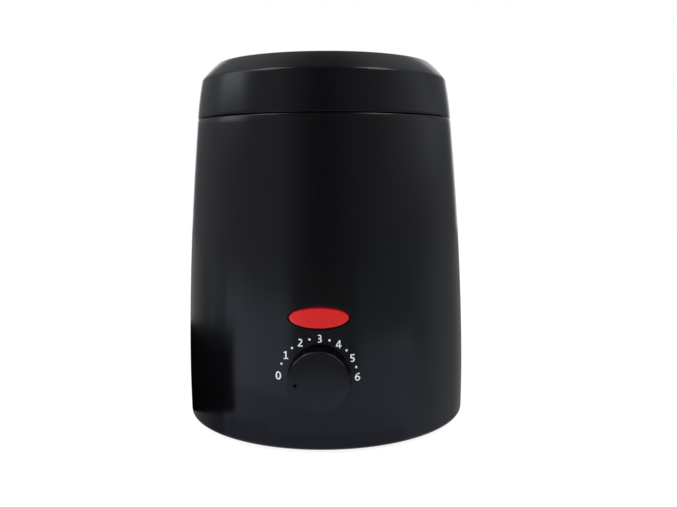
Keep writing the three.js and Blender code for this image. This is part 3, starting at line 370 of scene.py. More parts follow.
def redLens(name, look):
    # translucent red: light sinks in and comes back, with a fine moulded frost on the face
    tree, shader, place = newFinish(name)
    scale, depth = look["frost"]
    frost = noiseAt(tree, place, scale)
    coat(tree, shader, look, noiseAt(tree, place, look["cloud"]), frost, [(frost, depth, 0.5)])
    feed(tree, shader, {"Specular IOR Level": look["gloss"], "Subsurface Weight": look["sink"],
                        "Subsurface Radius": (1.0, 0.15, 0.1), "Subsurface Scale": look["sinkDepth"]})


reds = {
    "signalRed": {"dark": (0.62, 0.009, 0.008), "light": (0.70, 0.014, 0.012), "roughness": (0.16, 0.24),
                  "frost": (2600, 2e-5), "cloud": 260, "gloss": 0.42, "sink": 0.25, "sinkDepth": 0.001},
    # painted shade: a darker, duller red for the lens's rim
    "deepRed": {"dark": (0.10, 0.0015, 0.0015), "light": (0.14, 0.003, 0.003), "roughness": (0.34, 0.46),
                "frost": (2600, 2e-5), "cloud": 260, "gloss": 0.05, "sink": 0.1, "sinkDepth": 0.0005},
}


def printedInk(name, look):
    # screen-printed ink: nearly even, with a faint mottle where the mesh laid it down
    tree, shader, place = newFinish(name)
    scale, depth = look["mottle"]
    mottle = noiseAt(tree, place, scale, 3.0)
    coat(tree, shader, look, mottle, mottle, [(mottle, depth, 0.4)])


inks = {"whiteInk": {"dark": (0.80, 0.81, 0.83), "light": (0.90, 0.90, 0.91), "roughness": (0.45, 0.6),
                     "mottle": (3000, 1e-5)}}


def lampGlass(name, look):
    # thin glass, nearly clear, with faint draw lines
    tree, shader, place = newFinish(name)
    scale, depth = look["draw"]
    draw = noiseAt(tree, place, scale, 1.0)
    coat(tree, shader, look, None, draw, [(draw, depth, 0.3)])
    feed(tree, shader, {"Base Color": (*look["colour"], 1), "Transmission Weight": look["clear"],
                        "IOR": look["bend"]})


glasses = {"clearGlass": {"colour": (0.95, 0.82, 0.74), "clear": 0.9, "bend": 1.5, "roughness": (0.03, 0.08),
                          "draw": (500, 1e-5)}}

for mixFinish, group in ((mouldedPlastic, plastics), (workedMetal, metals), (pressedMica, micas),
                         (redLens, reds), (printedInk, inks), (lampGlass, glasses)):
    for name, look in group.items():
        mixFinish(name, look)
print("finishes mixed,", len(finishes))


viewpoint = {
    "fromAxis": 355.6, "height": 115.4,  # of the lens, from the pot's axis and over the table
    "aside": 2.54, "yaw": 0.99, "pitch": 6.67, "roll": -0.38,  # degrees
    "lens": 40.03, "sensor": 36.0,
}


def turnAbout(axis, degrees):
    # the matrix of a turn
    return Matrix.Rotation(math.radians(degrees), 4, axis)


def placeCamera(view):
    # the lens stands on a circle round the axis, a little aside, and looks at the axis with a small yaw,
    # pitch and roll
    camera = bpy.data.cameras.new("camera")
    camera.lens = view["lens"]
    camera.sensor_width = view["sensor"]
    camera.clip_start = 0.01
    eye = intoScene("camera", camera)
    aside, away = math.radians(view["aside"]), view["fromAxis"] * millimetre
    place = Matrix.Translation((away * math.sin(aside), -away * math.cos(aside), view["height"] * millimetre))
    turn = turnAbout("Z", view["aside"] - view["yaw"]) @ turnAbout("X", 90 - view["pitch"])
    eye.matrix_world = place @ turn @ turnAbout("Z", view["roll"])
    bpy.context.scene.camera = eye
    bpy.context.scene.view_settings.view_transform = "Standard"


lamps = [
    # name, degrees from the front (left is minus), degrees up, distance, width and height in metres, watts
    # and whether the gloss shows it
    ("softboxLeft", -65, 53, 0.9, (0.33, 0.37), 1.6, True),
    ("softboxRight", 66, 53, 0.9, (0.33, 0.37), 1.9, True),
    ("fill", 0, 45, 1.0, (0.8, 0.8), 4.8, False),
]
lampTarget = (0, 0, 0.1)


def placeLamps(entries, target):
    # each panel stands on a sphere round the target and faces it
    for name, around, up, away, size, watts, inGloss in entries:
        light = bpy.data.lights.new(name, "AREA")
        light.shape = "RECTANGLE"
        light.size, light.size_y = size
        light.energy = watts
        panel = intoScene(name, light)
        turn = turnAbout("Z", around) @ turnAbout("X", 90 - up)
        panel.matrix_world = Matrix.Translation(target) @ turn @ Matrix.Translation((0, 0, away))
        panel.visible_camera = False
        panel.visible_glossy = inGloss


tent = {
    # belts of the tent by degrees up, from low to high, each a brightness by degrees from the front (left
    # is minus); the light passes smoothly from one belt to the next
    "belts": [
        (3, [(-180, 0.20), (-135, 0.21), (-122, 0.31), (-105, 0.45), (-85, 0.52), (-40, 0.56), (-14, 0.20),
             (-3, 0.13), (4, 0.13), (25, 0.28), (64, 0.48), (110, 0.44), (125, 0.31), (139, 0.19),
             (180, 0.20)]),
        (8, [(-180, 0.28), (-137, 0.28), (-122, 0.37), (-94, 0.47), (-73, 0.50), (-38, 0.58), (-14, 0.21),
             (-2, 0.11), (12, 0.17), (28, 0.31), (52, 0.46), (96, 0.86), (110, 0.82), (121, 0.46),
             (140, 0.22), (180, 0.28)]),
        (14, [(-180, 0.36), (-122, 0.38), (-108, 0.62), (-102, 1.2), (-76, 1.15), (-68, 0.60), (-40, 0.55),
              (-14, 0.22), (-2, 0.11), (12, 0.18), (28, 0.29), (52, 0.43), (67, 0.67), (100, 0.88),
              (120, 0.43), (135, 0.31), (180, 0.36)]),
        (21, [(-180, 0.34), (-148, 0.28), (-126, 0.37), (-109, 0.58), (-104, 2.0), (-91, 2.7), (-81, 2.6),
              (-72, 0.80), (-60, 0.56), (-42, 0.60), (-14, 0.23), (-2, 0.10), (12, 0.17), (26, 0.28),
              (55, 0.42), (90, 0.86), (104, 0.74), (119, 0.42), (140, 0.36), (180, 0.34)]),
        (62, [(-180, 0.56), (-110, 0.74), (-60, 0.46), (-30, 0.12), (30, 0.12), (60, 0.46), (110, 0.74),
              (180, 0.56)]),
        (84, [(-180, 0.31), (180, 0.31)]),
    ],
    "tint": (0.97, 1.0, 1.08),
    "backdrop": 24, "backdropTop": 40,  # half width of the white backdrop round +Y and its height, degrees
}


def mathNode(tree, operation, *values):
    # one sum from links and values
    return addNode(tree, "Math", dict(enumerate(values)), operation=operation).outputs[0]


def seenDirectly(tree):
    # 1 for rays from the camera or through glass, and 1 for rays off gloss
    path = addNode(tree, "LightPath", {}).outputs
    direct = mathNode(tree, "MAXIMUM", path["Is Camera Ray"], path["Is Transmission Ray"])
    return direct, path["Is Glossy Ray"]


def rampNode(tree, share, stops):
    # a brightness by direction, read from (degrees, value) stops between -180 and 180
    ramp = addNode(tree, "ValToRGB", {"Fac": share})
    points = ramp.color_ramp.elements
    while len(points) < len(stops):
        points.new(0.5)
    for point, (degrees, value) in zip(points, stops):
        point.position = (degrees + 180) / 360
        point.color = (value, value, value, 1)
    return ramp.outputs["Color"]


def blendNode(tree, share, first, second):
    # the first value where the share is 0, the second where it is 1
    return addNode(tree, "Mix", {"Factor": share, "A": first, "B": second}).outputs["Result"]


def easeNode(tree, value, start, end):
    # 0 below the start, 1 over the end, smooth between
    sockets = {"Value": value, "From Min": start, "From Max": end}
    return addNode(tree, "MapRange", sockets, interpolation_type="SMOOTHSTEP").outputs["Result"]


def raiseTent(look):
    # a tent of light in belts, darkest in front; a white backdrop hangs behind, and the camera sees white
    world = bpy.data.worlds.new("tent")
    bpy.context.scene.world = world
    world.use_nodes = True
    tree = world.node_tree
    direction = addNode(tree, "TexCoord", {}).outputs["Generated"]
    x, y, z = addNode(tree, "SeparateXYZ", {0: direction}).outputs
    around = mathNode(tree, "DEGREES", mathNode(tree, "ARCTAN2", x, mathNode(tree, "MULTIPLY", y, -1.0)))
    up = mathNode(tree, "DEGREES", mathNode(tree, "ARCSINE", z))
    share = mathNode(tree, "DIVIDE", mathNode(tree, "ADD", around, 180.0), 360.0)
    below, stops = look["belts"][0]
    light = rampNode(tree, share, stops)
    for level, stops in look["belts"][1:]:
        light = blendNode(tree, easeNode(tree, up, below, level), light, rampNode(tree, share, stops))
        below = level
    behind = mathNode(tree, "GREATER_THAN", mathNode(tree, "ABSOLUTE", around), 180.0 - look["backdrop"])
    behind = mathNode(tree, "MULTIPLY", behind, mathNode(tree, "LESS_THAN", up, look["backdropTop"]))
    direct, glossy = seenDirectly(tree)
    white = mathNode(tree, "MAXIMUM", direct, mathNode(tree, "MULTIPLY", glossy, behind))
    feed(tree, tree.nodes["Background"], {"Color": toneMix(tree, white, look["tint"], (1, 1, 1)),
                                          "Strength": blendNode(tree, white, light, 1.0)})


def sheet(name, points, faces, sockets):
    # flat faces in millimetres with a plain material
    mesh = bpy.data.meshes.new(name)
    mesh.from_pydata((points * millimetre).tolist(), [], faces)
    material, tree, shader = newMaterial(name)
    feed(tree, shader, {"Specular IOR Level": 0.0, **sockets})
    mesh.materials.append(material)
    return intoScene(name, mesh), tree, shader


tableTop = {"left": -900, "right": 900, "front": -450, "back": 900,
            "glow": 1.2, "share": 0.75, "colour": 0.86, "roughness": 0.9}


def layTable(look):
    # a white sheet that glows a little where it is seen, so that only a faint shadow stays on it
    corners = [(look[x], look[y], 0) for x, y in (
        ("left", "front"), ("right", "front"), ("right", "back"), ("left", "back"))]
    table, tree, cloth = sheet("table", np.array(corners), [[0, 1, 2, 3]], {
        "Base Color": (look["colour"],) * 3 + (1,), "Roughness": look["roughness"]})
    seen = mathNode(tree, "MAXIMUM", *seenDirectly(tree))
    mix = addNode(tree, "MixShader", {
        0: mathNode(tree, "MULTIPLY", seen, look["share"]), 1: cloth.outputs[0],
        2: addNode(tree, "Emission", {"Strength": look["glow"]}).outputs[0]})
    feed(tree, tree.nodes["Material Output"], {"Surface": mix.outputs[0]})
    table.active_material.name = "whiteTable"


placeCamera(viewpoint)
placeLamps(lamps, lampTarget)
raiseTent(tent)
layTable(tableTop)


# Cards on the table that only show in the gloss. Each is a fan of lines that leave the object's side at
# "feet" degrees from the front and run towards "heads" degrees; the card lies between the distances "near"
# and "far" along them, given for the first and for the last line
cards = [
    # name, feet, heads, near, far, glow, tint
    ("right0", (36, 43.5), (76, 92), (25, 0), (1200, 1200), 0.62, (0.76, 0.85, 1.0)),
    ("floorMiddle", (-38, 43.5), (-86, 92), (25, 25), (300, 190), 1.22, (0.68, 0.75, 1.0)),
    ("floorLeft", (-38, -12), (-86, -25), (25, 25), (700, 700), 1.55, (0.73, 0.80, 1.0)),
    ("floorNear", (-41, 43.5), (-92, 92), (0, 0), (105, 25), 1.1, (0.70, 0.75, 1.0)),
    ("nearLeft1", (-41, -33), (-92, -75.5), (0, 0), (29, 33), 0.52, (0.72, 0.78, 1.0)),
    ("nearLeft2", (-33, -28), (-75.5, -64), (0, 0), (33, 34), 0.67, (0.72, 0.78, 1.0)),
    ("nearLeft3", (-28, -20), (-64, -46), (0, 0), (34, 35), 0.8, (0.72, 0.78, 1.0)),
    ("nearMiddle", (-20, 33), (-46, 70), (0, 0), (20, 20), 0.88, (0.70, 0.75, 1.0)),
    ("floorRight1", (33, 38.5), (70, 81.5), (0, 0), (204, 197), 1.04, (0.70, 0.77, 1.0)),
    ("floorRight2", (38.5, 43.5), (81.5, 92), (0, 0), (197, 190), 0.82, (0.74, 0.81, 1.0)),
    ("frontBand", (-12, 13.5), (-25, 28), (126, 126), (190, 190), 0.25, (1, 1, 1)),
    ("frontNear", (-12, 13.5), (-25, 28), (190, 190), (420, 420), 0.46, (0.9, 1, 1.1)),
    ("frontFar", (-12, 13.5), (-25, 28), (420, 420), (1200, 1200), 0.22, (1, 1, 1)),
    ("frontRight", (13.5, 36), (28, 76), (250, 280), (1200, 1200), 0.58, (0.66, 0.80, 1.0)),
    ("right1", (43.5, 49), (92, 104), (0, 0), (1200, 1200), 0.66, (0.80, 0.88, 1.0)),
    ("right2", (49, 54.5), (104, 115), (0, 0), (1200, 1200), 0.54, (0.85, 0.91, 1.0)),
    ("right3", (54.5, 60.5), (115, 127), (0, 0), (1200, 1200), 0.39, (0.92, 0.96, 1.0)),
    ("right4", (60.5, 86), (127, 176), (0, 0), (1200, 1200), 0.28, (0.98, 0.99, 1.0)),
    ("leftPale", (-38, -49), (-86, -108), (285, 275), (1200, 1200), 0.52, (0.9, 0.97, 1.1)),
    ("leftGrey", (-49, -82), (-108, -176), (270, 200), (1200, 1200), 0.31, (1, 1, 1)),
    ("leftNear", (-40, -82), (-90, -176), (0, 0), (32, 4), 0.235, (0.80, 0.86, 1.04)),
    ("leftDark", (-33.6, -82), (-76.8, -176), (36, -1), (298, 207), 0.0, (1, 1, 1)),
]
cardLines = 13
cardStart = 64.0  # radius of the object's foot
cardLift, cardStep = 0.1, 0.06  # height of the first card over the table, and of each over the last


def layCard(name, feet, heads, near, far, glow, tint, lift):
    # the near points of the fan's lines, and back along the far ones, joined by quads
    share = np.linspace(0, 1, cardLines)[:, None]
    between = lambda ends: ends[0] + (ends[1] - ends[0]) * share
    out = lambda degrees: np.column_stack([np.sin(np.radians(degrees)), -np.cos(np.radians(degrees))])
    start, along = cardStart * out(between(feet)), out(between(heads))
    points = np.vstack([start + along * between(near), start + along * between(far)])
    i = np.arange(cardLines - 1)
    faces = np.column_stack([i, i + 1, i + 1 + cardLines, i + cardLines]).tolist()
    card = sheet(name, np.column_stack([points, np.full(len(points), lift)]), faces, {
        "Base Color": (0, 0, 0, 1), "Emission Color": (*tint, 1), "Emission Strength": glow})[0]
    card.visible_camera = card.visible_diffuse = card.visible_transmission = card.visible_shadow = False


for number, card in enumerate(cards):
    layCard(*card, cardLift + cardStep * number)
print("camera, lamps, tent, table and cards placed")


lensHeight, knobHeight, inletHeight = 55.7, 31.9, 17.5  # middles of what goes through the housing's wall
housing = {
    "bottom": 1.2, "top": 136.0, "wall": 2.5, "rimRound": 2.0, "lipRound": 0.4,
    "bellyRadius": 64.4, "bellyHeight": 20.0, "bottomTuck": 0.25,
    "seamRadius": 57.9, "seamHeight": 136.2, "leanPower": 1.7,
    "deckTop": 128.0, "deckThickness": 2.5, "deckHole": 41.1, "mouthRadius": 55.4,
    "sides": 320, "fineFrom": 3.8, "fineStep": 0.6, "fineRows": 108, "plainRows": 26, "innerRows": 8,
}


def sideRadius(height, form=housing):
    # widest at the belly; above it the radius falls with a power of the height, below it with a square
    widest, belly, tuck, power = pick(form, "bellyRadius bellyHeight bottomTuck leanPower")
    rise = np.clip((height - belly) / (form["seamHeight"] - belly), 0, None)
    drop = np.clip((belly - height) / (belly - form["bottom"]), 0, None)
    return widest - (widest - form["seamRadius"]) * rise**power - tuck * drop**2


def squareRing(level):
    # the corners of a square of cells, from the lower right one and round against the clock
    step = np.arange(2 * level)
    up, back = -level + step, level - step
    edge = np.full(2 * level, level)
    across = np.concatenate([edge, back, -edge, up])
    along = np.concatenate([up, edge, back, -edge])
    return across, along, np.arange(8 * level) / (8 * level)


def oval(halfWidth, halfHeight):
    # an oval outline by the share of the way round, from the lower right
    return lambda share: unitCircle(2 * np.pi * (share - 0.125)).T * [[halfWidth], [halfHeight]]


def roundedBox(width, tall, corner):
    # a box with round corners, walked at an even pace from the middle of its lower right corner
    arcs = [(1, 1, 0), (-1, 1, 90), (-1, -1, 180), (1, -1, 270)]
    x, y = width / 2 - corner, tall / 2 - corner
    line = np.vstack([circleArc(sx * x, sy * y, corner, a, a + 90, 16) for sx, sy, a in arcs])
    line = np.roll(line, 8, 0)
    line = np.vstack([line, line[:1]])
    walked = np.concatenate([[0], np.cumsum(np.linalg.norm(np.diff(line, axis=0), axis=1))])
    return lambda share: [np.interp(share * walked[-1], walked, along) for along in line.T]


openings = [
    # row of the fine rows, column, cells to the hole's edge and to the window's edge, outlines on the outer
    # and inner wall, and the rings between: by their depth in the wall, then by their distance from the axis
    {"height": lensHeight, "row": 86, "column": 80, "hole": 8, "window": 15,
     "outer": oval(12.85, 5.15), "inner": oval(12.5, 4.8),
     "sunk": [(oval(12.7, 5.0), 0.0), (oval(12.55, 4.85), 0.07), (oval(12.5, 4.8), 0.25)], "rings": []},
    {"height": knobHeight, "row": 47, "column": 80, "hole": 12, "window": 24,
     "outer": oval(10.4, 10.4), "inner": oval(12.0, 12.0),
     "sunk": [(oval(10.2, 10.2), 0.0), (oval(10.0, 10.0), 0.2)],
     "rings": [(oval(10.0, 10.0), 61.27), (oval(9.8, 9.8), 61.07), (oval(5.3, 5.3), 61.07),
               (oval(5.3, 5.3), 57.57), (oval(12.0, 12.0), 57.57)]},
    {"height": inletHeight, "row": 23, "column": 240, "hole": 12, "window": 20,
     "outer": roundedBox(28.3, 18.7, 5.35), "inner": roundedBox(25.0, 15.4, 3.5),
     "sunk": [(roundedBox(28.0, 18.4, 5.2), 0.0), (roundedBox(27.6, 18.0, 5.0), 0.2)],
     "rings": [(roundedBox(27.6, 18.0, 5.0), 62.6), (roundedBox(27.2, 17.6, 4.8), 62.4),
               (roundedBox(21.6, 12.0, 2.0), 62.4), (roundedBox(21.6, 12.0, 2.0), 59.8),
               (roundedBox(25.0, 15.4, 3.5), 59.8)]},
]


def housingShell(form, holes):
    # One grid: columns round the axis, rows along the closed profile: up the outside, over the lip,
    # along the deck and down the inside. Round each opening the cells are pulled into rings whose
    # place goes evenly from the opening's outline to the window's square edge.
    columns, wall, bottom, top, rimRound, lipRound = pick(form, "sides wall bottom top rimRound lipRound")
    mouth, deckHole, deckTop, fineStep = pick(form, "mouthRadius deckHole deckTop fineStep")
    deckBottom = deckTop - form["deckThickness"]
    fine = form["fineFrom"] + fineStep * np.arange(form["fineRows"])
    upper = np.linspace(fine[-1], top - lipRound, form["plainRows"] + 1)[1:]
    lower = np.linspace(deckBottom, fine[-1], form["innerRows"] + 1)[:-1]
    rim = circleArc(sideRadius(bottom + rimRound) - rimRound, bottom + rimRound, rimRound, -90, 0, 8)
    lip = circleArc(form["seamRadius"] - lipRound, top - lipRound, lipRound, 0, 90, 6)[1:]
    deck = easedLine([(mouth + 1, top, 0), (mouth, top, 0.4), (mouth, deckTop, 0.8), (deckHole, deckTop, 0.3),
                      (deckHole, deckBottom, 0.3), (sideRadius(deckBottom) - wall, deckBottom, 0)], 3)[1:-1]
    # rows as (radius, height, inset of the wall or -1 where the radius is given)
    given = lambda points: np.column_stack([points, -np.ones(len(points))])
    side = lambda heights, inset: np.column_stack([0 * heights, heights, 0 * heights + inset])
    rows = np.vstack([given(rim), side(fine, 0), side(upper, 0), given(lip), given(deck), side(lower, wall),
                      side(fine[::-1], wall), given([(sideRadius(bottom) - wall, bottom)])])
    columnAngle = lambda column: np.radians(-180 + 360 / columns * column)
    angle = np.tile(columnAngle(np.arange(columns)), (len(rows), 1))
    height = np.tile(rows[:, 1:2], (1, columns))
    outerRow, innerRow = len(rim), len(rows) - 2
    kept = np.ones((len(rows), columns), bool)  # cells by their lower left corner
    loops = []
    for hole in holes:
        nearest, window, middle, ends = hole["hole"], hole["window"], columnAngle(hole["column"]), []
        walls = (outerRow, 1, hole["outer"], 0.0), (innerRow, -1, hole["inner"], wall)
        for first, rowStep, outline, inset in walls:
            for level in range(nearest, window):
                across, along, share = squareRing(level)
                blend, grown = (level - nearest) / (window - nearest), window / level
                x, z = outline(share)
                z = hole["height"] + z
                at = (first + rowStep * (hole["row"] + along), hole["column"] + across)
                edgeAngle = middle + np.arcsin(x / (sideRadius(z) - inset))
                borderAngle = middle + across * grown * 2 * np.pi / columns
                borderHeight = fine[hole["row"]] + along * grown * fineStep
                angle[at] = (1 - blend) * edgeAngle + blend * borderAngle
                height[at] = (1 - blend) * z + blend * borderHeight
                if level == nearest:
                    ends.append(at[0] * columns + at[1])
            low, left = first + rowStep * hole["row"] - nearest, hole["column"] - nearest
            kept[low:low + 2 * nearest, left:left + 2 * nearest] = False
        loops.append((hole, middle, ends))
    inset = rows[:, 2:]
    radius = np.where(inset < 0, rows[:, :1], sideRadius(height) - np.maximum(inset, 0))
    points = np.stack([radius * np.cos(angle), radius * np.sin(angle), height], 2).reshape(-1, 3)
    index = np.arange(len(rows) * columns).reshape(len(rows), columns)
    above, right = np.roll(index, -1, 0), np.roll(index, -1, 1)
    quads = np.stack([index, right, np.roll(above, -1, 1), above], 2)[kept].tolist()
    for hole, middle, ends in loops:
        share, facing, loop = squareRing(hole["hole"])[2], np.sign(np.sin(middle)), [ends[0]]
        for number, (outline, depth) in enumerate(hole["sunk"] + hole["rings"]):
            x, z = outline(share)
            z = hole["height"] + z
            sunk = number < len(hole["sunk"])
            out = np.sqrt(sideRadius(z)**2 - x**2) - depth if sunk else depth + 0 * x
            loop.append(np.arange(len(points), len(points) + len(x)))
            points = np.vstack([points, np.column_stack([-facing * x, facing * out, z])])
        loop.append(ends[1])
        for near, far in zip(loop[:-1], loop[1:]):
            quads += np.stack([near, np.roll(near, -1), np.roll(far, -1), far], 1).tolist()
    used = np.unique(np.array(quads))
    place = np.zeros(len(points), int)
    place[used] = np.arange(len(used))
    return points[used], place[np.array(quads)].tolist()


screwPlaces, footPlaces = (4, 45), (4, 0)  # how many round the axis, and the degrees of the first
posts = {"circle": 53.0, "radius": 4.0, "bore": 1.5, "bottom": 6.5, "top": 22.5, "boreTop": 17.5,
         "sides": 32}


def postShell(form):
    # a closed round post that stands on its circle, with a bore from below for the screw
    radius, bore, bottom = pick(form, "radius bore bottom")
    profile = easedLine([(radius, form["top"], 0), (radius, bottom, 0.3), (bore, bottom, 0.2),
                         (bore, form["boreTop"], 0)], 3)
    return moved(turnedShell(profile, form["sides"]), form["circle"])


makePiece("housingShell", [housingShell(housing, openings), *aroundAxis(postShell(posts), *screwPlaces)],
          "housing", "blackPlastic", ["housing"])


lid = {
    "bottom": 136.4, "top": 161.0, "seamRadius": 57.9, "shoulderHeight": 153.5, "shoulderRadius": 55.5,
    "crestRadius": 48.1, "bulge": 0.25, "chamferBulge": 0.25, "edge": 0.3, "shoulderRound": 0.7,
    "slopeRound": 0.3, "crestRound": 0.7, "lipOuter": 55.1, "lipInner": 53.3, "lipEnd": 132.5, "ledge": 0.6,
    "inner": 2.2, "ceilingRadius": 47.0, "ceilingFoot": 152.4, "sides": 300,
}


def lidProfile(form):
    # under the top and down the lip, then up the side with a swell of 4s(1-s), over the chamfer, which
    # swells in the same way, and in to the axis
    bottom, top, lipOuter, lipInner, lipEnd = pick(form, "bottom top lipOuter lipInner lipEnd")
    seam, shoulder, shoulderHeight, crest = pick(form, "seamRadius shoulderRadius shoulderHeight crestRadius")
    ceiling = top - form["inner"]
    share = np.linspace(0, 1, 17)[1:-1]
    start = bottom + form["edge"]
    side = np.column_stack([seam + (shoulder - seam) * share + form["bulge"] * 4 * share * (1 - share),
                            start + (shoulderHeight - start) * share])
    slope = share[1:-1:2]
    out = form["chamferBulge"] * 4 * slope * (1 - slope) * math.sqrt(0.5)
    chamfer = easedLine([
        (*side[-1], 0), (shoulder, shoulderHeight, form["shoulderRound"]),
        *np.column_stack([shoulder + (crest - shoulder) * slope + out,
                          shoulderHeight + (top - shoulderHeight) * slope + out,
                          0 * slope + form["slopeRound"]]),
        (crest, top, form["crestRound"]), (poleRadius, top, 0)])
    edge = circleArc(seam - form["edge"], start, form["edge"], -90, 0, 4)
    under = easedLine([
        (poleRadius, ceiling, 0), (form["ceilingRadius"], ceiling, 2.0), (lipInner, form["ceilingFoot"], 2.0),
        (lipInner, lipEnd, 0.3), (lipOuter, lipEnd, 0.5), (lipOuter, bottom, 0.2),
        (lipOuter + form["ledge"], bottom, 0)], 5)
    return np.vstack([under, edge, side[:-1], chamfer])


makePiece("lidCap", [turnedShell(lidProfile(lid), lid["sides"])],
          "lid", "blackPlastic", ["lid"])


knob = {
    "height": knobHeight, "face": 71.77, "back": 64.77, "radius": 12.7, "faceRadius": 12.3, "edge": 0.6,
    "wall": 1.7, "hubRadius": 4.8, "hubBack": 65.57, "boreRadius": 3.3, "boreEnd": 70.92, "sides": 160,
    "dimpleRadius": 0.64, "dimpleDepth": 0.32, "dimpleAt": 9.3, "dimpleDegrees": 189,
    "dimpleSteep": 0.97, "dimpleRim": 0.08, "faceBand": 0.01, "shineDepth": 0.18, "shineFrom": 7.2,
}


def knobShell(form):
    # rings from the bottom of the dimple, across the face, where each ring slides from the dimple's
    # middle to the knob's and grows, over the edge, down the side and into the hollow back
    top, back, rounding, hub, bore, hubBack = pick(form, "face back edge hubRadius boreRadius hubBack")
    circle = unitCircle(evenAngles(form["sides"]))
    middle = form["dimpleAt"] * unitCircle(np.radians(form["dimpleDegrees"]))[0]
    bowl = np.linspace(0.1, 1, 8)
    bowlRings = outlineRings([middle + circle * form["dimpleRadius"] * r for r in bowl],
                             top - form["dimpleDepth"] * np.sqrt(1 - (form["dimpleSteep"] * bowl) ** 2))
    start, finish = form["dimpleRadius"] + form["dimpleRim"], form["faceRadius"] - rounding
    grow = np.linspace(0, 1, 10) ** 2
    face = outlineRings([middle * (1 - g) + circle * (start + (finish - start) * g) for g in grow],
                        0 * grow + top)
    inner, inside = form["faceRadius"] - form["wall"], top - form["wall"]
    edge = circleArc(finish, top - rounding, rounding, 90, 0, 6)[1:]
    rest = easedLine([
        (*edge[-1], 0), (form["radius"], back, 0.25), (inner, back, 0.25), (inner, inside, 0.5),
        (hub, inside, 0.3), (hub, hubBack, 0.3), (bore, hubBack, 0.2), (bore, form["boreEnd"], 0)], 4)
    return skin(np.concatenate([bowlRings, face, turnedRings(np.vstack([edge, rest[1:]]), form["sides"])]))


def knobParts(x, y, z):
    # the side and dimple take a dull copy of the knob's plastic, which paints shade on them, and the upper
    # part of the rounded edge takes a glossier copy, which paints a highlight there
    behindFace, aboveAxis = knob["face"] + y, z - knob["height"]
    onEdge = (behindFace < knob["shineDepth"]) & (np.hypot(x, aboveAxis) > knob["faceRadius"] - knob["edge"])
    paintedShade = ~onEdge & (behindFace > knob["faceBand"])
    return np.where(paintedShade, 1, np.where(onEdge & (aboveAxis > knob["shineFrom"]), 2, 0))


dialKnob = makePiece("dialKnob", [toFront(knobShell(knob), knob["height"])],
                     "knob", "knobPlastic", ["control_knob"])
addFinishes(dialKnob, ["knobSidePlastic", "knobEdgePlastic"], knobParts)


lens = {
    "height": lensHeight, "halfWidth": 12.2, "halfHeight": 4.45, "proud": 0.5, "chamferWidth": 0.65,
    "chamferDrop": 0.35, "chamferPower": 1.4, "chamferLand": 0.08, "neck": 1.2, "wall": 2.8, "flange": 1.8,
    "flangeThickness": 1.5, "sides": 192,
    "brightShift": -0.15, "brightHalfWidth": 11.72, "brightHalfHeight": 3.98,
}


def lensShell(form):
    # ovals that grow over the face of the housing: each point lies proud of sideRadius at its height,
    # at the root of that radius squared less x squared
    def ringAt(halfWidth, halfHeight, offset):
        x, y = unitCircle(evenAngles(form["sides"])).T * [[halfWidth], [halfHeight]]
        return np.column_stack([x, y, np.sqrt((sideRadius(form["height"] + y) + offset) ** 2 - x**2)])

    a, b, c, proud, drop = pick(form, "halfWidth halfHeight chamferWidth proud chamferDrop")
    wall, flange, neck = pick(form, "wall flange neck")
    end = -wall - form["flangeThickness"]
    face = [ringAt((a - c) * s, (b - c) * s, proud) for s in np.linspace(0.06, 1, 14)]
    slope = [ringAt(a - c * (1 - s), b - c * (1 - s), proud - drop * s ** form["chamferPower"])
             for s in (0.25, 0.5, 0.75, 0.94)]
    side = [ringAt(a, b, offset) for offset in (proud - drop - form["chamferLand"], -neck, -wall)]
    back = [ringAt((a + flange) * s, (b + flange) * s, offset)
            for s, offset in ((1, -wall), (1, end), (0.6, end), (0.3, end), (0.06, end))]
    return skin(np.array(face + slope + side + back))


def paintedRimShade(x, y, z):
    # painted shade: darker red outside the inner oval, which stands in for shade on the lens's rounded rim
    across = (x - lens["brightShift"]) / lens["brightHalfWidth"]
    upward = (z - lens["height"] - lens["brightShift"]) / lens["brightHalfHeight"]
    return across**2 + upward**2 > 1


signalLens = makePiece("signalLens", [toFront(lensShell(lens), lens["height"])],
                       "housing", "signalRed", ["indicator_lens"])
addFinishes(signalLens, ["deepRed"], paintedRimShade)


dial = {"radius": 15.58, "middle": (-0.53, -0.07), "height": 3.15, "dotRadius": 0.46, "lift": 0.02,
        "thick": 0.03, "firstDegrees": 175.7, "stepDegrees": 14.7}


def bow(x, y, wide, tall, fromDegrees, toDegrees, steps=20):
    # part of an oval: the middle plus wide times cos and tall times sin of even angles
    return circleArc(0, 0, 1, fromDegrees, toDegrees, steps) * [wide, tall] + [x, y]


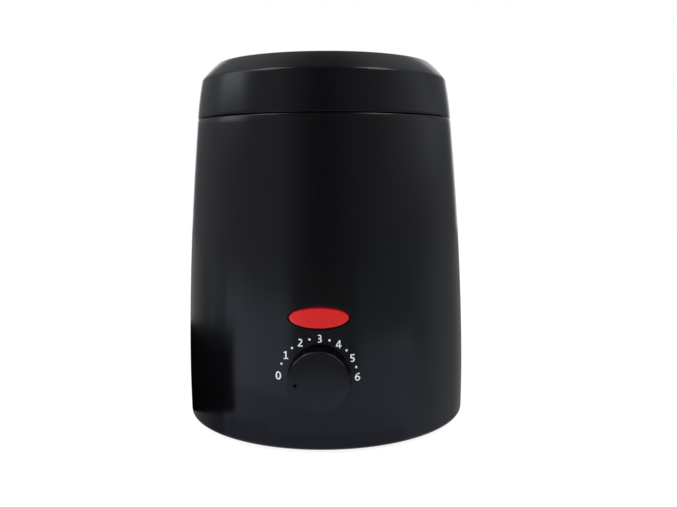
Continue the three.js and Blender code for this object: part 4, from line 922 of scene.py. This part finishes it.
# Outlines of the plain numbers, one unit tall and round x = 0: the outer line first, then a hole
figures = {
    "0": [bow(-0.17, 0.19, 0.36, 0.54, 0, 348.8, 31), bow(-0.17, 0.19, 0.17, 0.38, 0, 348.8, 31)],
    "1": [np.array([(-0.26, 0), (0.32, 0), (0.32, 0.14), (0.12, 0.14), (0.12, 1), (-0.02, 1), (-0.28, 0.86),
                    (-0.22, 0.74), (-0.06, 0.81), (-0.06, 0.14), (-0.26, 0.14)])],
    "2": [np.vstack([bow(-0.02, 0.71, 0.30, 0.30, 142, -32),
                     [(-0.05, 0.15), (0.31, 0.15), (0.31, 0), (-0.32, 0), (-0.32, 0.12)],
                     bow(-0.03, 0.70, 0.14, 0.155, -38, 140)])],
    "3": [np.vstack([bow(-0.03, 0.74, 0.28, 0.27, 132, -42), bow(-0.04, 0.29, 0.32, 0.30, 52, -132),
                     bow(-0.06, 0.29, 0.155, 0.155, -128, 82), [(-0.15, 0.45), (-0.15, 0.58)],
                     bow(-0.05, 0.735, 0.14, 0.135, -80, 128)])],
    "4": [np.array([(0.05, 0), (0.22, 0), (0.22, 0.22), (0.36, 0.22), (0.36, 0.37), (0.22, 0.37), (0.22, 1),
                    (0.02, 1), (-0.36, 0.37), (-0.36, 0.22), (0.05, 0.22)]),
          np.array([(0.05, 0.37), (-0.19, 0.37), (0.05, 0.76)])],
    "5": [np.vstack([[(-0.25, 1), (0.27, 1), (0.27, 0.85), (-0.10, 0.85), (-0.11, 0.62)],
                     bow(-0.03, 0.31, 0.33, 0.32, 84, -132), bow(-0.06, 0.31, 0.18, 0.17, -128, 100),
                     [(-0.16, 0.46), (-0.28, 0.49)]])],
    "6": [np.vstack([bow(0.02, 0.31, 0.325, 0.32, 90, -128), bow(0.30, 0.36, 0.62, 0.65, 200, 92),
                     [(0.28, 0.87)], bow(0.28, 0.42, 0.42, 0.45, 96, 156, 12)]),
          bow(0.02, 0.31, 0.155, 0.18, 0, 348.8, 31)],
}


def printedFigures(form):
    # each figure and dot is filled flat, set upright on the dial's circle and laid on the housing: its
    # distance from the axis is the root of sideRadius squared less x squared
    tall, laid = form["height"], []
    dot = [circleArc(0, 0, form["dotRadius"] / tall, 0, 345, 23)]
    for i in range(2 * len(figures) - 1):
        # a dot stands between every two figures; a figure's middle is half its height up
        outlines, middle = (dot, 0.0) if i % 2 else (figures[str(i // 2)], 0.5)
        at = math.radians(form["firstDegrees"] - form["stepDegrees"] * i)
        place = form["radius"] * np.array([math.cos(at), math.sin(at)]) + form["middle"]
        outlines = [(line - [0, middle]) * tall + place for line in outlines]
        points, faces = flatPlate(outlines, 0, form["thick"])
        x, y, layer = points.T
        out = np.sqrt(sideRadius(knobHeight + y) ** 2 - x**2) + form["lift"] + layer
        laid.append(toFront((np.column_stack([x, y, out]), faces), knobHeight))
    return laid


makePiece("dialFigures", printedFigures(dial), "housing", "whiteInk")


collar = {"inner": 41.0, "outer": 55.1, "bottom": 128.3, "top": 132.1, "overFlange": 130.1, "flange": 47.3,
          "start": 50, "sides": 240}


def collarProfile(form):
    # out along the bottom, up the outside, in over the top, down on the well's flange and round its edge
    inner, outer, bottom, top, flange, overFlange = pick(form, "inner outer bottom top flange overFlange")
    start, end = form["start"], form["start"] - 0.1
    return easedLine([
        (start, bottom, 0), (outer, bottom, 0.2), (outer, top, 0.5), (inner, top, 0.7),
        (inner, overFlange, 0.3), (flange, overFlange, 0.2), (flange, bottom, 0.2), (end, bottom, 0)])


makePiece("trimCollar", [turnedShell(collarProfile(collar), collar["sides"], closed=True)],
          "housing", "darkPlastic", ["top_collar"])


draft = {"top": 133.9, "depth": 52.4, "taper": 1.0}  # shared by the pot and its well


def drafted(radius, height):
    # the radius less the taper's share of the depth below the rim
    return radius - draft["taper"] * (draft["top"] - height) / draft["depth"]


well = {"outer": 40.5, "wall": 1.5, "flange": 47.0, "flangeTop": 129.8, "flangeBottom": 128.3,
        "floor": 81.1, "bottom": 78.1, "corner": 6.8, "sides": 200}


def wellProfile(form):
    # out along the floor, up the drafted inside, over the flange and down the outside to the bottom
    outer, wall, flange, floor, bottom = pick(form, "outer wall flange floor bottom")
    low, high = pick(form, "flangeBottom flangeTop")
    return easedLine([
        (poleRadius, floor, 0), (drafted(outer, floor) - wall, floor, form["corner"]),
        (drafted(outer, high) - wall, high, 0.6), (flange, high, 0.3), (flange, low, 0.3),
        (drafted(outer, low), low, 0.4), (drafted(outer, bottom), bottom, 1.5), (poleRadius, bottom, 0)], 8)


makePiece("wellCup", [turnedShell(wellProfile(well), well["sides"])],
          "housing", "spunAluminium", ["heating_well"])


pot = {"side": 38.2, "wall": 1.2, "bottom": 81.5, "foot": 6.0, "rim": 45.0, "rimTop": 133.9,
       "rimBottom": 132.4, "sides": 240}
lug = {"inner": 41.8, "outer": 44.2, "centre": 136.1, "half": 4.0, "foot": 133.2, "hole": 1.8, "edge": 0.3,
       "sides": 72}


def potProfile(form):
    # down the inside, across the floor's middle, and back up the outside to the rolled rim
    side, wall, bottom, foot, rim, high, low = pick(form, "side wall bottom foot rim rimTop rimBottom")
    roll = (high - low) / 2
    inner = easedLine([
        (poleRadius, bottom + wall, 0), (drafted(side, bottom + wall) - wall, bottom + wall, foot - wall),
        (drafted(side, high) - wall, high, 1.6), (rim - roll, high, 0)], 8)
    edge = circleArc(rim - roll, high - roll, roll, 90, -90, 10)[1:]
    outer = easedLine([(*edge[-1], 0), (drafted(side, low), low, 0.8), (drafted(side, bottom), bottom, foot),
                       (poleRadius, bottom, 0)], 8)[1:]
    return np.vstack([inner, edge, outer])


def lugShell(form):
    # rings round the hole: out on the lug's outline, which is a half circle over straight sides, and
    # back in at the hole
    inner, outer, half, hole, edge = pick(form, "inner outer half hole edge")
    circle = unitCircle(evenAngles(form["sides"]))
    c, s = circle.T
    low = (form["centre"] - form["foot"]) / np.maximum(-s, 1e-6)
    reach = np.where(s >= 0, half, np.minimum(low, half / np.maximum(np.abs(c), 1e-6)))[:, None]
    outline, small = circle * reach, circle * (reach - edge)
    bore, wideBore = circle * hole, circle * (hole + edge)
    flat = outlineRings([small, outline, outline, small, wideBore, bore, bore, wideBore],
                        [inner, inner + edge, outer - edge, outer, outer, outer - edge, inner + edge, inner])
    points, faces = skin(flat, closed=True)
    across, up, out = points.T
    return np.column_stack([out, across, form["centre"] + up]), faces


makePiece("waxPot", [turnedShell(potProfile(pot), pot["sides"]), *aroundAxis(lugShell(lug), 2)],
          "pot", "spunAluminium", ["pot"])


bail = {"wire": 1.5, "hoop": 40.0, "height": 136.1, "end": 45.9, "endRound": 0.7, "endShare": 0.5,
        "bend": 2.2, "sides": 20}


def bailShell(form):
    # a level wire: each ring stands square to the path, and the end rings shrink as a quarter circle
    hoop, bend, end = pick(form, "hoop bend end")
    start = math.degrees(math.asin(bend / hoop))
    corner = circleArc(hoop + bend, bend, bend, 270, 180, 10)
    straight = np.column_stack([np.linspace(end, corner[0, 0], 8), np.zeros(8)])
    right = np.vstack([straight[:-1], corner[:-1]])
    path = np.vstack([right, circleArc(0, 0, hoop, start, 180 - start, 96), right[::-1] * [-1, 1]])
    along = np.gradient(path, axis=0)
    along /= np.linalg.norm(along, axis=1, keepdims=True)
    across = np.column_stack([-along[:, 1], along[:, 0]])
    gone = np.minimum(np.abs(path[:, 0] - end), np.abs(path[:, 0] + end))
    near = np.clip(1 - gone / form["endRound"], 0, 0.98) * (np.abs(path[:, 1]) < 0.1)  # level stretch only
    wire = form["wire"] * (1 - form["endShare"] * near**2)
    c, s = unitCircle(evenAngles(form["sides"])).T
    level = path[:, None] + across[:, None] * (c[None, :, None] * wire[:, None, None])
    height = form["height"] + np.outer(wire, s)
    return skin(np.concatenate([level, height[:, :, None]], 2))


makePiece("wireBail", [bailShell(bail)], "bail", "platedSteel", ["bail"])


plate = {"radius": 61.35, "bottom": 1.2, "middle": 2.5, "top": 3.7, "vents": 12, "ventInner": 17.0,
         "ventOuter": 33.0, "ventWidth": 2.6, "screwCircle": 53.0, "headHole": 3.0, "shankHole": 1.5,
         "footCircle": 50.0, "footHole": 6.3, "ribOuter": 59.75, "ribInner": 58.15, "ribTop": 6.2,
         "bossRadius": 5.0, "sides": 240, "headSides": 32, "shankSides": 24, "footSides": 48}


def plateShells(form):
    # a lower layer with holes for screw heads, feet and vents, an upper one with holes for shanks and vents,
    # a ring rib, and a boss round each screw
    circle = lambda x, radius, steps: circleArc(x, 0, radius, 0, 360 - 360 / steps, steps - 1)
    copies = lambda outline, count, start=0.0: [turnedBy(outline, turn) for turn in evenAngles(count, start)]
    bottom, middle, top, ribTop, shank, screws = pick(form, "bottom middle top ribTop shankHole screwCircle")
    half = form["ventWidth"] / 2
    slot = np.vstack([circleArc(form["ventOuter"] - half, 0, half, -90, 90, 8),
                      circleArc(form["ventInner"] + half, 0, half, 90, 270, 8)])
    edge, slots = circle(0, form["radius"], form["sides"]), copies(slot, form["vents"])
    heads = copies(circle(screws, form["headHole"], form["headSides"]), *screwPlaces)
    shanks = copies(circle(screws, shank, form["shankSides"]), *screwPlaces)
    feet = copies(circle(form["footCircle"], form["footHole"], form["footSides"]), *footPlaces)
    raised = lambda inner, outer, sides: turnedShell(
        [(inner, top), (inner, ribTop), (outer, ribTop), (outer, top)], sides, closed=True)
    boss = moved(raised(shank, form["bossRadius"], form["headSides"]), screws)
    return [flatPlate([edge, *slots, *heads, *feet], bottom, middle),
            flatPlate([edge, *slots, *shanks], middle, top),
            raised(form["ribInner"], form["ribOuter"], form["sides"]), *aroundAxis(boss, *screwPlaces)]


makePiece("bottomPlate", plateShells(plate), "housing", "darkPlastic", ["base_plate"])


foot = {"radius": 6.0, "top": 2.2, "round": 0.6, "hollowRadius": 4.6, "padRadius": 5.0, "hollow": 0.15,
        "circle": 50.0, "sides": 64}


def footShell(form):
    # a round pad with a shallow hollow below, which stands on its circle
    radius, top, hollow = pick(form, "radius top hollow")
    profile = easedLine([
        (poleRadius, hollow, 0), (form["hollowRadius"], hollow, 0.2), (form["padRadius"], 0, 0.2),
        (radius, 0, form["round"]), (radius, top, 0.2), (poleRadius, top, 0)], 4)
    return moved(turnedShell(profile, form["sides"]), form["circle"])


makePiece("rubberFeet", aroundAxis(footShell(foot), *footPlaces),
          "housing", "blackRubber", ["foot_1", "foot_2", "foot_3", "foot_4"])


screw = {"head": 2.7, "headTop": 3.5, "face": 1.7, "flat": 1.62, "dome": 0.55, "domeShare": 0.38,
         "shank": 1.2, "tip": 16.5, "tipLength": 1, "tipShare": 0.3, "armLength": 1.45, "armHalf": 0.36,
         "sides": 48,
         "recess": [(0.45, 1.0), (0.8, 0.35), (1, 0.02)]}  # shares of the cross's reach, each with its depth


def screwShell(form):
    # rings from the floor of the cross recess out over the domed head and up the shank; the cross's
    # reach at an angle is the longer of its two arms' exits
    circle = unitCircle(evenAngles(form["sides"]) + offAxis)
    c, s = np.abs(circle.T)
    arm, half, face, head, headTop, shank, tip = pick(form, "armLength armHalf face head headTop shank tip")
    reach = np.maximum(np.minimum(arm / c, half / s), np.minimum(half / c, arm / s))[:, None]
    rings = [(circle * reach * part, face + depth) for part, depth in form["recess"]]
    rings += [(circle * form["flat"], face)]
    rings += [(circle * (head * (1 - form["domeShare"] * (1 - x))), face + form["dome"] * (1 - y))
              for x, y in circleArc(0, 0, 1, 70, 0, 5)]
    rings += [(circle * head, headTop), (circle * shank, headTop), (circle * shank, tip - form["tipLength"]),
              (circle * shank * form["tipShare"], tip)]
    return skin(outlineRings(*zip(*rings)))


makePiece("plateScrews", aroundAxis(moved(screwShell(screw), plate["screwCircle"]), *screwPlaces),
          "housing", "platedSteel", ["base_screw_1", "base_screw_2", "base_screw_3", "base_screw_4"])


inlet = {"height": inletHeight, "face": 64.4, "bezelBack": 62.7, "back": 47.2, "floor": 52.0,
         "bezel": (27.0, 17.4, 5.0), "body": (21.0, 11.4, 2.0), "lobe": 4.1, "spacing": 8.6, "waist": 2.9,
         "edge": 0.5, "mouthRound": 0.35, "pinRadius": 1.2, "pinTip": 63.0, "pinEnd": 43.2, "sides": 192,
         "pinSides": 32}


def roundedBoxReach(width, tall, corner, angle):
    # how far a box with round corners reaches at each angle, read off its outline
    x, y = roundedBox(width, tall, corner)(np.linspace(0, 1, 721)[:-1])
    bearing = np.arctan2(y, x)
    order = np.argsort(bearing)
    return np.interp(angle, bearing[order], np.hypot(x, y)[order], period=2 * np.pi)


def inletShell(form):
    # rings from the socket's floor up its wall, over the face to the bezel's edge and back to the body;
    # the socket's reach at an angle is the longest exit from its two lobes and its waist
    angle = evenAngles(form["sides"]) + offAxis
    circle = unitCircle(angle)
    c, s = np.abs(circle.T)
    half, mouth, reach = form["spacing"] / 2, form["mouthRound"], form["lobe"]
    inLobe = np.maximum(reach**2 - (half * s) ** 2, 0)
    lobe = np.where(reach > half * s, half * c + np.sqrt(inLobe), 0)
    socket = np.maximum(lobe, np.minimum(half / c, form["waist"] / s))
    width, tall, corner = form["bezel"]
    bezel = lambda inset: roundedBoxReach(width - 2 * inset, tall - 2 * inset, corner - inset, angle)
    body = roundedBoxReach(*form["body"], angle)
    face, edge, floor, bezelBack, back = pick(form, "face edge floor bezelBack back")
    steps = [(socket * 0.5, floor), (socket - 0.1, floor), (socket, floor + 0.1), (socket, face - mouth),
             (socket + 0.1, face - 0.1), (socket + mouth, face), ((socket + bezel(edge)) / 2, face),
             (bezel(edge), face), (bezel(edge * 0.3), face - edge * 0.3), (bezel(0), face - edge),
             (bezel(0), bezelBack), (body, bezelBack), (body, back), (body * 0.5, back)]
    return skin(outlineRings([circle * reach[:, None] for reach, _ in steps], [out for _, out in steps]))


def pinShell(form):
    # a round pin with a domed tip
    radius, tip, end = pick(form, "pinRadius pinTip pinEnd")
    profile = [*circleArc(0, tip - radius, radius, 80, 0, 6), (radius, end)]
    return turnedShell(profile, form["pinSides"])


makePiece("inletSocket", [toBack(inletShell(inlet), inlet["height"])],
          "housing", "darkPlastic", ["mains_inlet"])
pinPlaces = [side * inlet["spacing"] / 2 for side in (-1, 1)]
makePiece("inletPins", [toBack(moved(pinShell(inlet), place), inlet["height"]) for place in pinPlaces],
          "housing", "platedSteel", ["inlet_pin_live", "inlet_pin_neutral"])


# a node takes the finish of the longest name here that its own name starts with
innerFinishes = {
    "platedSteel": ["collar_screw", "thermostat_shaft", "thermostat_nut", "thermostat_washer", "bulb_clip",
                  "clamp_strap", "clamp_screw", "clamp_nut", "fuse_clip", "terminal_block_screw",
                  "base_screw", "inlet_pin", "bail"],
    "drawnCopper": ["capillary_tube", "sensor_bulb"],
    "spunAluminium": ["heating_well", "pot"],
    "micaWrap": ["heater_band"],
    "whitePlastic": ["thermostat_body", "thermal_fuse", "terminal_block"],
    "darkPlastic": ["lamp_holder", "mains_inlet", "base_plate", "top_collar"],
    "blackPlastic": ["housing", "lid"],
    "knobPlastic": ["control_knob"],
    "signalRed": ["indicator_lens"],
    "blackRubber": ["foot_"],
    "clearGlass": ["neon_lamp"],
    "brownSilicone": ["wire_inlet_live", "wire_live", "wire_thermostat", "wire_fuse", "lamp_lead_live"],
    "blueSilicone": ["wire_inlet_neutral", "wire_band", "lamp_lead_neutral"],
}

starts = {start: finish for finish, names in innerFinishes.items() for start in names}
for name, node in nodes.items():
    longest = max((start for start in starts if name.startswith(start)), key=len)
    node.data.materials.clear()
    node.data.materials.append(finishes[starts[longest]])
print("inner pieces dressed")
